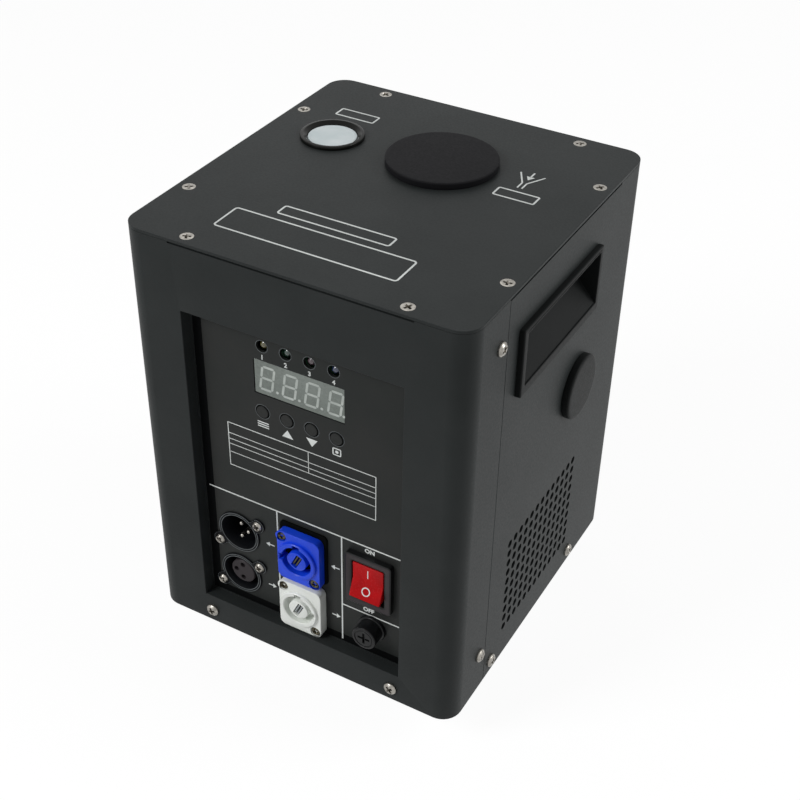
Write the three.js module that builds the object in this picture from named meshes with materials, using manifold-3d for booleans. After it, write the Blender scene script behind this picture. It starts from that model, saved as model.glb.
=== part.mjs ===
// Cold spark machine: a sheet-metal cabinet on four rubber feet with a recessed control panel.
// Metal granules fall from the hopper into a feed screw, which pushes them into a heated chamber.
// A blower under the chamber lifts the glowing granules out of the nozzle in the top plate.
// Units are millimetres, +Z is up, the control panel faces -Y, the side with the round plug is +X.
// The origin is on the ground in the middle of the cabinet.

import * as THREE from 'three';
import { mergeGeometries, mergeVertices } from 'three/addons/utils/BufferGeometryUtils.js';
import Module from 'manifold-3d';

const wasm = await Module();
wasm.setup();

// Facets of round shapes
const SIDES_LARGE = 24;
const SIDES_MEDIUM = 20;
const SIDES_SMALL = 12;
const SIDES_SCREW = 8;
const SIDES_VENT = 6;
const SIDES_HEX = 6;
const CORNER_STEPS = 4;

// Clearances that every piece shares
const SEAT_GAP = 0.1;
const FIT_GAP = 0.3;
const RUN_GAP = 0.6;
const OVERRUN = 1;
const WELD = 0.2;
const MERGE_DISTANCE = 0.00001;

// Cabinet
const CASE_WIDTH = 180;
const CASE_DEPTH = 190;
const CASE_HEIGHT = 234.5;
const CASE_CORNER = 10.5;
const SHEET = 1.5;
const TOP_SHEET = 1.5;
const SEAM_SETBACK = 35.2;
const SEAM_LAP = 16;
const SEAM_GAP = 0.4;
const TOP_FLANGE_WIDTH = 12;
const TOP_FLANGE_HALF = 63;
const BEND_GROOVE = 0.8;

// Base pan and its bosses
const PAN_WALL = 14;
const POST_RADIUS = 3;
const POST_HEIGHT = 8;
const CASE_SCREW_Z = 8;

// Feet
const FOOT_HEIGHT = 22;
const FOOT_RADIUS = 12.5;
const FOOT_TIP_RADIUS = 11;
const FOOT_INSET = 32;
const FOOT_RECESS_RADIUS = 5;
const FOOT_RECESS_DEPTH = 12;
const FOOT_STUD_RADIUS = 2;
const FOOT_STUD_LENGTH = 7;

// Window in the front shell and the recessed control panel behind it
const WINDOW_HALF_WIDTH = 59;
const WINDOW_BOTTOM = 17.8;
const WINDOW_TOP_DROP = 37;
const WINDOW_RETURN = 7.5;
const PANEL_MARGIN = 3;
const PANEL_RETURN = 9;

// Pan-head screws of the cabinet
const SCREW_HEAD_RADIUS = 3.2;
const SCREW_HEAD_HEIGHT = 2;
const SCREW_EDGE_HEIGHT = 1;
const SCREW_SHANK_RADIUS = 1.5;
const SCREW_SHANK_LENGTH = 5;
const CROSS_LENGTH = 3.6;
const CROSS_WIDTH = 0.7;
const CROSS_DEPTH = 0.9;
const FRONT_SCREW_X = 55;
const SEAM_SCREW_INSET = 6.7;
const SEAM_SCREW_TOP_DROP = 22.5;
const SEAM_SCREW_LOW_Z = 24.5;
const SIDE_SCREW_SETBACK = 7.5;
const SIDE_SCREW_REAR_Y = 45.5;

// Countersunk screws of the top plate
const FLAT_HEAD_RADIUS = 3.3;
const FLAT_HEAD_DEPTH = 1.2;
const FLAT_SHANK_LENGTH = 6;
const TOP_SCREW_EDGE = 6.3;
const TOP_SCREW_SIDE_Y = 50.3;
const TOP_SCREW_END_X = 56.5;

// Perforated vents
const VENT_COLUMNS = 13;
const VENT_ROWS = 10;
const LEFT_VENT_ROWS = 4;
const VENT_PITCH = 6.4;
const VENT_HOLE_RADIUS = 2.2;
const VENT_Z = 49.5;

// Recessed carrying handles
const HANDLE_SETBACK = 91.2;
const HANDLE_DROP = 41.7;
const HANDLE_FRAME_WIDTH = 88.5;
const HANDLE_FRAME_HEIGHT = 36.5;
const HANDLE_PROUD = 3;
const HANDLE_MOUTH_WIDTH = 81;
const HANDLE_MOUTH_HEIGHT = 28.4;
const HANDLE_MOUTH_RISE = 1.2;
const HANDLE_DEPTH = 19;
const HANDLE_BACK = 4;
const HANDLE_WALL = 1.6;

// Round plug in the right side
const PLUG_Y = 29.5;
const PLUG_RISE_SHARE = 0.5693;
const PLUG_RADIUS = 17.5;
const PLUG_PROUD = 4.2;
const PLUG_EDGE = 0.6;
const PLUG_SHANK_RADIUS = 14.5;
const PLUG_SHANK_LENGTH = 5;

// Spark outlet: nozzle, its dust disc, the heated chamber and what wraps it
const OUTLET_INSET = 36;
const OUTLET_Y = 30.5;
const NOZZLE_RIM_RADIUS = 15.2;
const NOZZLE_PROUD = 2;
const NOZZLE_SEAT_RADIUS = 12.9;
const NOZZLE_SEAT_DEPTH = 0.8;
const NOZZLE_BORE_RADIUS = 11;
const NOZZLE_WALL = 3.6;
const NOZZLE_LENGTH = 70;
const DISC_THICKNESS = 1;
const CHAMBER_WALL = 2;
const CHAMBER_LAP = 8;
const CHAMBER_FLOOR = 2;
const AIR_HOLE_RADIUS = 5;
const SLEEVE_WALL = 2.5;
const SLEEVE_HEIGHT = 44;
const SLEEVE_LIFT = 1;
const COIL_WIRE_RADIUS = 2;
const COIL_TURNS = 5;
const COIL_PITCH = 8;
const COIL_STEPS_PER_TURN = 16;
const COIL_SIDES = 5;

// Blower under the chamber
const BLOWER_WIDTH = 56;
const BLOWER_HEIGHT = 30;
const BLOWER_WALL = 2.5;
const BLOWER_ROTOR_RADIUS = 22;
const BLOWER_ROTOR_HEIGHT = 16;
const BLOWER_HUB_RADIUS = 8;
const BLOWER_BLADES = 9;
const BLOWER_BLADE_THICKNESS = 1.6;
const BLOWER_DISC_THICKNESS = 1.5;
const BLOWER_INLET_WIDTH = 30;
const BLOWER_INLET_HEIGHT = 12;
const PIN_RADIUS = 1.5;
const PIN_LENGTH = 6;

// Hopper and its cap
const HOPPER_X = 7.4;
const HOPPER_Y = 33.2;
const HOPPER_BORE = 24.2;
const HOPPER_WALL = 2;
const HOPPER_RIM = 3.5;
const HOPPER_CONE = 40;
const SPOUT_BORE = 6;
const SPOUT_WALL = 2;
const SPOUT_LAP = 8;
const SPOUT_RISE = 13.9;
const CAP_RADIUS = 28.2;
const CAP_PROUD = 3.5;
const CAP_EDGE = 0.5;
const CAP_SKIRT_DEPTH = 11;
const CAP_SKIRT_WALL = 3;

// Feed screw line from the hopper to the chamber
const FEED_Z = 100;
const FEED_BORE = 9;
const FEED_WALL = 2;
const FEED_END_INSET = 57;
const COLLAR_HEIGHT = 20;
const AUGER_RADIUS = 8.2;
const AUGER_CORE = 2.6;
const AUGER_PITCH = 12;
const AUGER_FLIGHT = 1.6;
const AUGER_STEPS_PER_TURN = 10;
const AUGER_REACH = 8;
const AUGER_RUNOUT = 9;
const SHAFT_RADIUS = 2;
const SHAFT_ENTRY = 8;

// Gear motor and its bracket
const MOTOR_RADIUS = 12.5;
const MOTOR_LENGTH = 40;
const MOTOR_BOSS_RADIUS = 5;
const MOTOR_BOSS_LENGTH = 3;
const BRACKET_THICKNESS = 2;
const BRACKET_HALF_WIDTH = 12;
const BRACKET_FOOT = 14;

// Cooling fan behind the right vent
const FAN_WIDTH = 60;
const FAN_DEPTH = 15;
const FAN_BORE = 28;
const FAN_HUB_RADIUS = 12;
const FAN_HUB_LENGTH = 9;
const FAN_PLATE = 2;
const FAN_STRUT = 3;
const FAN_STRUTS = 4;
const FAN_STRUT_TURN_SHARE = 0.5;
const FAN_BLADES = 7;
const FAN_BLADE_CHORD = 9;
const FAN_BLADE_THICKNESS = 1.2;
const FAN_BLADE_TURN = THREE.MathUtils.degToRad(35);
const FAN_CORNER = 4;

// Circuit boards
const BOARD_SHEET = 1.6;
const POWER_BOARD_BLOWER_GAP = 12;
const POWER_BOARD_SIDE_GAP = 26.5;
const POWER_BOARD_PANEL_GAP = 37.4;
const POWER_BOARD_BRACKET_GAP = 5.85;
const POST_EDGE = 5;
const POWER_PART_HEIGHT = 30;
const HEATSINK_PLACE_SHARES = [0.3158, 0.7813];
const HEATSINK_WIDTH = 34;
const HEATSINK_DEPTH = 18;
const HEATSINK_BASE = 3;
const HEATSINK_HEIGHT = 24;
const HEATSINK_FINS = 7;
const HEATSINK_FIN_THICKNESS = 1.5;

// Transformer, capacitor and relay as shares of the power board's width and depth and of the
// tallest part's height
const POWER_PART_SHARES = [
  { x: 0.2105, y: 0.3125, wide: 0.3158, deep: 0.4063, tall: 0.7333 },
  { x: 0.6316, y: 0.2813, wide: 0.2368, deep: 0.2813, tall: 1 },
  { x: 0.7895, y: 0.7813, wide: 0.2105, deep: 0.2813, tall: 0.6 },
];

// Display board with its display, lamps and buttons
const DISPLAY_X = -0.25;
const DISPLAY_DROP = 28.3;
const DISPLAY_WIDTH = 49;
const DISPLAY_HEIGHT = 19;
const DISPLAY_DEPTH = 8;
const DISPLAY_INSET = 0.3;
const DISPLAY_BOARD_WIDTH = 74;
const DISPLAY_BOARD_DROP = 1.5;
const DISPLAY_BOARD_HEIGHT = 56;
const CONTROL_MIDDLE_X = -0.5;
const LAMP_COLOURS = ['yellow', 'green', 'red', 'blue'];
const LAMP_PITCH = 12.87;
const LAMP_DROP = 10.5;
const LAMP_RADIUS = 2.5;
const LAMP_HOLE_RADIUS = 3.1;
const LAMP_INSET = 0.8;
const BUTTON_NAMES = ['menu', 'up', 'down', 'enter'];
const BUTTON_PITCH = 13.67;
const BUTTON_DROP = 48.2;
const BUTTON_RADIUS = 3.4;
const BUTTON_HOLE_RADIUS = 3.9;
const BUTTON_PROUD = 0.5;
const BUTTON_TRAVEL = 0.5;
const BUTTON_COLLAR_RADIUS = 4.7;
const BUTTON_COLLAR_THICKNESS = 1;
const TACT_WIDTH = 6;
const TACT_HEIGHT = 3.5;

// Signal connectors, fixed from behind the panel
const SIGNAL_X = -39.5;
const SIGNAL_IN_Z = 65.3;
const SIGNAL_OUT_Z = 36.9;
const SIGNAL_BARREL_RADIUS = 11.6;
const SIGNAL_CAVITY_RADIUS = 10;
const SIGNAL_CAVITY_DEPTH = 14;
const SIGNAL_FLANGE = 2.5;
const SIGNAL_BODY_RADIUS = 11;
const SIGNAL_BODY_DEPTH = 22;
const SIGNAL_INSERT_RADIUS = 7.8;
const SIGNAL_INSERT_INSET = 5;
const INLET_CONTACT_DEGREES = [90, 0, 270];
const OUTLET_CONTACT_DEGREES = [90, 180, 270];
const CONTACT_CIRCLE = 3.8;
const CONTACT_RADIUS = 1.2;
const CONTACT_LENGTH = 11;
const CONTACT_SOCKET_DEPTH = 8;
const CONNECTOR_SCREW_LONG = 24;
const CONNECTOR_SCREW_SHORT = 19;
const CONNECTOR_LONG = 31;
const CONNECTOR_SHORT = 26;
const CONNECTOR_CORNER = 3.5;
const CONNECTOR_HEAD_RADIUS = 2.8;
const CONNECTOR_HEAD_HEIGHT = 1.6;
const CONNECTOR_SHANK_RADIUS = 1.4;

// Power connectors, fixed on the front of the panel
const POWER_X = -0.7;
const POWER_IN_Z = 67.6;
const POWER_OUT_Z = 34.1;
const POWER_PROUD = 5.5;
const POWER_BOSS_RADIUS = 11.2;
const POWER_BOSS_PROUD = 1.5;
const POWER_GROOVE_OUTER = 8.6;
const POWER_GROOVE_INNER = 5.6;
const POWER_GROOVE_DEPTH = 14;
const POWER_BARREL_RADIUS = 11.6;
const POWER_BARREL_DEPTH = 24;
const POWER_KEY_WIDTH = 4;
const POWER_KEY_REACH = 10;
const POWER_SLOT_WIDTH = 1.6;
const POWER_SLOT_LENGTH = 6;
const POWER_SCREW_RECESS = 1.2;

// Rocker switch
const SWITCH_X = 38.7;
const SWITCH_Z = 68.7;
const SWITCH_WIDTH = 25.8;
const SWITCH_HEIGHT = 32;
const SWITCH_PROUD = 3.5;
const SWITCH_CORNER = 1.5;
const SWITCH_BODY_WIDTH = 22;
const SWITCH_BODY_HEIGHT = 27.6;
const SWITCH_BODY_DEPTH = 18;
const SWITCH_FLOOR = 3;
const ROCKER_WIDTH = 17.4;
const ROCKER_HALF_HEIGHT = 11.4;
const ROCKER_FACE_INSET = 0.4;
const ROCKER_PIVOT_DEPTH = 6;
const ROCKER_DEPTH = 4;
const ROCKER_GAP = 0.5;
const ROCKER_END_GAP = 0.75;
const ROCKER_THROW = THREE.MathUtils.degToRad(22);
const TRUNNION_RADIUS = 1.5;
const TRUNNION_LENGTH = 1.4;

// Fuse holder
const FUSE_X = 39.8;
const FUSE_Z = 36.8;
const FUSE_FLANGE_RADIUS = 7.8;
const FUSE_FLANGE = 2;
const FUSE_BARREL_RADIUS = 6;
const FUSE_BODY_DEPTH = 34;
const FUSE_NUT_RADIUS = 9;
const FUSE_NUT = 3;
const FUSE_CAP_RADIUS = 6.7;
const FUSE_CAP_LENGTH = 7;
const FUSE_SLOT_WIDTH = 1.2;
const FUSE_SLOT_DEPTH = 1.2;
const FUSE_SLOT_LENGTH = 7;
const FUSE_STEM_RADIUS = 2.6;
const FUSE_STEM_LENGTH = 6;
const FUSE_RADIUS = 2.5;
const FUSE_LENGTH = 20;
const FUSE_BORE = 3.4;

// Heights and faces that several pieces share, in the cabinet's own frame
const SHELL_TOP = CASE_HEIGHT - TOP_SHEET - SEAT_GAP;
const FRONT_Y = -CASE_DEPTH / 2;
const SIDE_X = CASE_WIDTH / 2;
const REAR_Y = CASE_DEPTH / 2;
const INNER_X = SIDE_X - SHEET;
const SEAM_Y = FRONT_Y + SEAM_SETBACK;
const SIDE_SCREW_FRONT_Y = SEAM_Y + SIDE_SCREW_SETBACK;
const SEAM_SCREW_TOP_Z = CASE_HEIGHT - SEAM_SCREW_TOP_DROP;
const WINDOW_TOP = CASE_HEIGHT - WINDOW_TOP_DROP;
const HANDLE_Y = FRONT_Y + HANDLE_SETBACK;
const HANDLE_Z = CASE_HEIGHT - HANDLE_DROP;
const PLUG_Z = CASE_HEIGHT * PLUG_RISE_SHARE;
const OUTLET_X = OUTLET_INSET - SIDE_X;
const FEED_END_X = SIDE_X - FEED_END_INSET;
const LAMP_Z = WINDOW_TOP - LAMP_DROP;
const DISPLAY_Z = WINDOW_TOP - DISPLAY_DROP;
const BUTTON_Z = WINDOW_TOP - BUTTON_DROP;
const DISPLAY_BOARD_TOP = WINDOW_TOP - DISPLAY_BOARD_DROP;
const DISPLAY_BOARD_BOTTOM = DISPLAY_BOARD_TOP - DISPLAY_BOARD_HEIGHT;
const PANEL_Y = FRONT_Y + WINDOW_RETURN + SEAT_GAP;
const PANEL_BACK_Y = PANEL_Y + SHEET;
const DISPLAY_FACE_Y = PANEL_Y + DISPLAY_INSET;
const DISPLAY_BOARD_Y = DISPLAY_FACE_Y + DISPLAY_DEPTH + SEAT_GAP;
const NOZZLE_OUTER = NOZZLE_BORE_RADIUS + NOZZLE_WALL;
const CHAMBER_BORE = NOZZLE_OUTER + FIT_GAP;
const CHAMBER_OUTER = CHAMBER_BORE + CHAMBER_WALL;
const BLOWER_TOP = SHEET + SEAT_GAP + BLOWER_HEIGHT;
const CHAMBER_BOTTOM = BLOWER_TOP + SEAT_GAP;
const CHAMBER_TOP = CASE_HEIGHT - NOZZLE_LENGTH + CHAMBER_LAP;
const FEED_Y = (OUTLET_Y + HOPPER_Y) / 2;
const FEED_OUTER = FEED_BORE + FEED_WALL;
const SCREW_HOLE = SCREW_SHANK_RADIUS + FIT_GAP;

const AXIS_BASIS = {
  x: [new THREE.Vector3(0, 1, 0), new THREE.Vector3(0, 0, 1), new THREE.Vector3(1, 0, 0)],
  y: [new THREE.Vector3(1, 0, 0), new THREE.Vector3(0, 0, 1), new THREE.Vector3(0, -1, 0)],
  z: [new THREE.Vector3(1, 0, 0), new THREE.Vector3(0, 1, 0), new THREE.Vector3(0, 0, 1)],
};

// Six times the volume that the triangles enclose, below zero when they face inwards
function signedVolume(places, corners) {
  let total = 0;
  const [a, b, c] = [new THREE.Vector3(), new THREE.Vector3(), new THREE.Vector3()];
  for (let i = 0; i < corners.length; i += 3) {
    a.fromArray(places, corners[i] * 3);
    b.fromArray(places, corners[i + 1] * 3);
    c.fromArray(places, corners[i + 2] * 3);
    total += a.dot(b.cross(c));
  }
  return total;
}

// A closed geometry as a solid that can be joined and cut, with its faces turned outwards
function solidOf(geometry) {
  const bare = geometry.clone();
  bare.deleteAttribute('normal');
  bare.deleteAttribute('uv');
  const merged = mergeVertices(bare, MERGE_DISTANCE);
  const places = merged.attributes.position.array;
  const all = merged.index.array;
  const corners = [];
  for (let i = 0; i < all.length; i += 3) {
    const [a, b, c] = [all[i], all[i + 1], all[i + 2]];
    if (a !== b && b !== c && c !== a) corners.push(a, b, c);
  }
  const inwards = signedVolume(places, corners) < 0;
  if (inwards) corners.reverse();
  const mesh = new wasm.Mesh({
    numProp: 3,
    vertProperties: places,
    triVerts: Uint32Array.from(corners),
  });
  return new wasm.Manifold(mesh);
}

// The first solid with all the others added to it
function join(...solids) {
  return solids.reduce((whole, solid) => whole.add(solid));
}

// The first solid with all the others taken out of it
function cut(body, ...tools) {
  return tools.reduce((left, tool) => left.subtract(tool), body);
}

function block([x0, x1], [y0, y1], [z0, z1]) {
  const box = new THREE.BoxGeometry(x1 - x0, y1 - y0, z1 - z0);
  box.translate((x0 + x1) / 2, (y0 + y1) / 2, (z0 + z1) / 2);
  return solidOf(box);
}

// A range of the given width, centred on a value
function about(middle, width) {
  return [middle - width / 2, middle + width / 2];
}

// The geometry of a cylinder or cone along an axis, centred on two values of the other two axes
function rodGeometry(axis, [from, to], [u, v], radius, sides, endRadius = radius) {
  const bar = new THREE.CylinderGeometry(endRadius, radius, to - from, sides);
  bar.translate(0, (from + to) / 2, 0);
  if (axis === 'x') bar.rotateZ(-Math.PI / 2).translate(0, u, v);
  if (axis === 'y') bar.translate(u, 0, v);
  if (axis === 'z') bar.rotateX(Math.PI / 2).translate(u, v, 0);
  return bar;
}

function rod(axis, range, centre, radius, sides, endRadius = radius) {
  return solidOf(rodGeometry(axis, range, centre, radius, sides, endRadius));
}

// A profile of [radius, height] pairs turned round an upright axis at [x, y]
function revolve(profile, [x, y], sides) {
  const points = profile.map(([radius, height]) => new THREE.Vector2(radius, height));
  const lathe = new THREE.LatheGeometry(points, sides);
  lathe.rotateX(Math.PI / 2).translate(x, y, 0);
  return solidOf(lathe);
}

// A profile that closes on itself, turned round an upright axis
function revolveRing(profile, centre, sides) {
  return revolve([...profile, profile[0]], centre, sides);
}

// A flat shape drawn square to an axis and carried along it from one value to the other.
// Square to x it is drawn in y and z, square to y in x and z, and square to z in x and y.
function prism(axis, shape, [from, to]) {
  const options = { depth: to - from, bevelEnabled: false, curveSegments: CORNER_STEPS };
  const bar = new THREE.ExtrudeGeometry(shape, options);
  bar.translate(0, 0, axis === 'y' ? -to : from);
  bar.applyMatrix4(new THREE.Matrix4().makeBasis(...AXIS_BASIS[axis]));
  return solidOf(bar);
}

function roundedRectangle([u, v], width, height, radius) {
  const [left, right] = about(u, width);
  const [low, high] = about(v, height);
  const shape = new THREE.Shape();
  shape.absarc(right - radius, low + radius, radius, -Math.PI / 2, 0);
  shape.absarc(right - radius, high - radius, radius, 0, Math.PI / 2);
  shape.absarc(left + radius, high - radius, radius, Math.PI / 2, Math.PI);
  shape.absarc(left + radius, low + radius, radius, Math.PI, Math.PI * 3 / 2);
  return shape;
}

function polygon(points) {
  return new THREE.Shape(points.map(([u, v]) => new THREE.Vector2(u, v)));
}

// Materials, one function for each finish
function finish(colour, roughness, metalness) {
  return new THREE.MeshStandardMaterial({ color: colour, roughness, metalness });
}

const powderCoat = () => finish('#3f4343', 0.55, 0.3);
const panelCoat = () => finish('#383b3c', 0.6, 0.25);
const zincSteel = () => finish('#9a9c98', 0.4, 0.9);
const nickel = () => finish('#c8c4b8', 0.28, 1);
const satinAluminium = () => finish('#c5cccf', 0.35, 0.9);
const scaledSteel = () => finish('#6f6a64', 0.5, 0.9);
const copper = () => finish('#b4683c', 0.3, 1);
const ceramic = () => finish('#d8d2c4', 0.8, 0);
const rubber = () => finish('#1d1d1e', 0.85, 0);
const blackPlastic = () => finish('#26272b', 0.45, 0);
const greyPlastic = () => finish('#3b3c42', 0.4, 0);
const naturalPlastic = () => finish('#b9b7ab', 0.5, 0);
const bluePlastic = () => finish('#1e50d7', 0.4, 0);
const whitePlastic = () => finish('#c9cdc6', 0.45, 0);
const redPlastic = () => finish('#c01018', 0.3, 0);
const displayPlastic = () => finish('#7e8580', 0.35, 0);
const boardLaminate = () => finish('#1f5a34', 0.5, 0);
const glass = () => finish('#b8c4c4', 0.1, 0);
const lampPlastic = {
  yellow: () => finish('#8d8a4c', 0.3, 0),
  green: () => finish('#3c6a58', 0.3, 0),
  red: () => finish('#6d3138', 0.3, 0),
  blue: () => finish('#34416e', 0.3, 0),
};

const machine = new THREE.Group();
const cabinet = new THREE.Group();
cabinet.position.z = FOOT_HEIGHT;
machine.add(cabinet);

// A solid as a named mesh in a group
function piece(name, solid, material, group = cabinet) {
  const { vertProperties, triVerts } = solid.getMesh();
  const geometry = new THREE.BufferGeometry();
  geometry.setAttribute('position', new THREE.BufferAttribute(Float32Array.from(vertProperties), 3));
  geometry.setIndex(new THREE.BufferAttribute(Uint32Array.from(triVerts), 1));
  geometry.computeVertexNormals();
  const mesh = new THREE.Mesh(geometry, material);
  mesh.name = name;
  group.add(mesh);
  return mesh;
}

// Places of the screws
const TOP_SCREW_PLACES = [-1, 1].flatMap((side) => [
  [side * (SIDE_X - TOP_SCREW_EDGE), TOP_SCREW_SIDE_Y],
  [side * (SIDE_X - TOP_SCREW_EDGE), -TOP_SCREW_SIDE_Y],
  [TOP_SCREW_END_X, side * (REAR_Y - TOP_SCREW_EDGE)],
  [-TOP_SCREW_END_X, side * (REAR_Y - TOP_SCREW_EDGE)],
]);
const SEAM_SCREW_Y = SEAM_Y - SEAM_SCREW_INSET;
const SIDE_SCREW_PLACES = [
  ['seam_top', SEAM_SCREW_Y, SEAM_SCREW_TOP_Z],
  ['seam_bottom', SEAM_SCREW_Y, SEAM_SCREW_LOW_Z],
  ['base_front', SIDE_SCREW_FRONT_Y, CASE_SCREW_Z],
  ['base_rear', SIDE_SCREW_REAR_Y, CASE_SCREW_Z],
];

// Cutters for the screw holes on every side of the cabinet, deep enough for two sheets
function sideScrewCutters(side) {
  const range = [side * (SIDE_X + OVERRUN), side * (SIDE_X - SCREW_SHANK_LENGTH - OVERRUN)];
  range.sort((a, b) => a - b);
  return SIDE_SCREW_PLACES.map(([, y, z]) => rod('x', range, [y, z], SCREW_HOLE, SIDES_SCREW));
}

function endScrewCutters(end) {
  const range = [end * (REAR_Y + OVERRUN), end * (REAR_Y - SCREW_SHANK_LENGTH - OVERRUN)];
  range.sort((a, b) => a - b);
  const places = [-FRONT_SCREW_X, FRONT_SCREW_X];
  return places.map((x) => rod('y', range, [x, CASE_SCREW_Z], SCREW_HOLE, SIDES_SCREW));
}

function topScrewCutters() {
  const range = [SHELL_TOP - FLAT_SHANK_LENGTH - OVERRUN, SHELL_TOP + OVERRUN];
  return TOP_SCREW_PLACES.map((place) => rod('z', range, place, SCREW_HOLE, SIDES_SCREW));
}

// The cabinet's outline in plan, or one that runs the given distance inside it
function planOutline(inset) {
  const [width, depth] = [CASE_WIDTH - inset * 2, CASE_DEPTH - inset * 2];
  return roundedRectangle([0, 0], width, depth, CASE_CORNER - inset);
}

// The upright wall of the cabinet, all round, before it is split into two shells
function caseWall() {
  const inside = prism('z', planOutline(SHEET), [-OVERRUN, SHELL_TOP + OVERRUN]);
  return cut(prism('z', planOutline(0), [0, SHELL_TOP]), inside);
}

// The strip of sheet bent inwards under the top plate, along the front or the rear
function endFlange(end) {
  const ys = [end * (REAR_Y - SHEET + WELD), end * (REAR_Y - SHEET - TOP_FLANGE_WIDTH)];
  ys.sort((a, b) => a - b);
  return block([-TOP_FLANGE_HALF, TOP_FLANGE_HALF], ys, [SHELL_TOP - SHEET, SHELL_TOP]);
}

function sideFlange(side) {
  const xs = [side * (INNER_X + WELD), side * (INNER_X - TOP_FLANGE_WIDTH)];
  xs.sort((a, b) => a - b);
  return block(xs, [SEAM_Y + SEAM_GAP, TOP_FLANGE_HALF], [SHELL_TOP - SHEET, SHELL_TOP]);
}

// The small groove that the bend of a top flange leaves under the top plate
function endGroove(end) {
  const ys = [end * (REAR_Y + OVERRUN), end * (REAR_Y - BEND_GROOVE)];
  ys.sort((a, b) => a - b);
  const zs = [SHELL_TOP - BEND_GROOVE, SHELL_TOP + OVERRUN];
  return block([-TOP_FLANGE_HALF, TOP_FLANGE_HALF], ys, zs);
}

function sideGroove(side) {
  const xs = [side * (SIDE_X + OVERRUN), side * (SIDE_X - BEND_GROOVE)];
  xs.sort((a, b) => a - b);
  const zs = [SHELL_TOP - BEND_GROOVE, SHELL_TOP + OVERRUN];
  return block(xs, [SEAM_Y - OVERRUN, TOP_FLANGE_HALF], zs);
}

// Base pan: a tray inside the lower edge of the shells, with posts for the power board
function basePan() {
  const outside = planOutline(SHEET + FIT_GAP);
  const inside = planOutline(SHEET * 2 + FIT_GAP);
  const tray = cut(prism('z', outside, [0, PAN_WALL]), prism('z', inside, [SHEET, PAN_WALL + OVERRUN]));
  const postRange = [SHEET - WELD, POST_HEIGHT];
  const posts = boardPosts().map((place) => rod('z', postRange, place, POST_RADIUS, SIDES_SCREW));
  const through = [-OVERRUN, SHEET + OVERRUN];
  const studs = footPlaces().map(([, x, y]) => {
    return rod('z', through, [x, y], FOOT_STUD_RADIUS + FIT_GAP, SIDES_SCREW);
  });
  const screws = [-1, 1].flatMap((side) => [...sideScrewCutters(side), ...endScrewCutters(side)]);
  return cut(join(tray, ...posts), ...studs, ...screws);
}

const POWER_BOARD_X = [
  OUTLET_X + BLOWER_WIDTH / 2 + POWER_BOARD_BLOWER_GAP,
  INNER_X - POWER_BOARD_SIDE_GAP,
];
const POWER_BOARD_Y = [
  PANEL_Y + POWER_BOARD_PANEL_GAP,
  FEED_Y - BRACKET_HALF_WIDTH - POWER_BOARD_BRACKET_GAP,
];

function boardPosts() {
  const [left, right] = [POWER_BOARD_X[0] + POST_EDGE, POWER_BOARD_X[1] - POST_EDGE];
  const [front, rear] = [POWER_BOARD_Y[0] + POST_EDGE, POWER_BOARD_Y[1] - POST_EDGE];
  return [[left, front], [right, front], [left, rear], [right, rear]];
}

function footPlaces() {
  const [x, y] = [SIDE_X - FOOT_INSET, REAR_Y - FOOT_INSET];
  return [
    ['foot_front_left', -x, -y],
    ['foot_front_right', x, -y],
    ['foot_rear_left', -x, y],
    ['foot_rear_right', x, y],
  ];
}

// Rubber foot, tapered, with a bonded stud through the base pan
function foot(x, y) {
  const seat = FOOT_HEIGHT - SEAT_GAP;
  const body = rod('z', [0, seat], [x, y], FOOT_TIP_RADIUS, SIDES_MEDIUM, FOOT_RADIUS);
  const recess = rod('z', [-OVERRUN, FOOT_RECESS_DEPTH], [x, y], FOOT_RECESS_RADIUS, SIDES_SMALL);
  const stud = rod('z', [seat - WELD, FOOT_HEIGHT + FOOT_STUD_LENGTH], [x, y], FOOT_STUD_RADIUS, SIDES_SCREW);
  return join(cut(body, recess), stud);
}

// Front shell: one sheet with the panel window, folded round both front corners
function frontShell() {
  const front = block([-CASE_WIDTH, CASE_WIDTH], [FRONT_Y - OVERRUN, SEAM_Y], [-OVERRUN, CASE_HEIGHT]);
  const wall = caseWall().intersect(front);
  const [low, high] = [WINDOW_BOTTOM, WINDOW_TOP];
  const collarX = WINDOW_HALF_WIDTH + SHEET;
  const collarY = [FRONT_Y + SHEET - WELD, FRONT_Y + WINDOW_RETURN];
  const collar = block([-collarX, collarX], collarY, [low - SHEET, high + SHEET]);
  const mouthY = [FRONT_Y - OVERRUN, FRONT_Y + WINDOW_RETURN + OVERRUN];
  const mouth = block([-WINDOW_HALF_WIDTH, WINDOW_HALF_WIDTH], mouthY, [low, high]);
  const whole = join(wall, collar, endFlange(-1));
  const sides = [-1, 1].flatMap((side) => sideScrewCutters(side));
  return cut(whole, mouth, endGroove(-1), ...endScrewCutters(-1), ...topScrewCutters(), ...sides);
}

// The strip of the rear shell that laps behind the front shell's edge, with its step
function seamLap(side) {
  const outer = INNER_X - FIT_GAP;
  const end = SEAM_Y + SHEET * 2;
  const zs = [PAN_WALL + SEAM_GAP, SHELL_TOP - SHEET - SEAM_GAP];
  const lapX = [side * outer, side * (outer - SHEET)].sort((a, b) => a - b);
  const stepX = [side * (INNER_X + WELD), side * (outer - SHEET)].sort((a, b) => a - b);
  return join(block(lapX, [SEAM_Y - SEAM_LAP, end], zs), block(stepX, [SEAM_Y + SEAM_GAP, end], zs));
}

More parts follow.
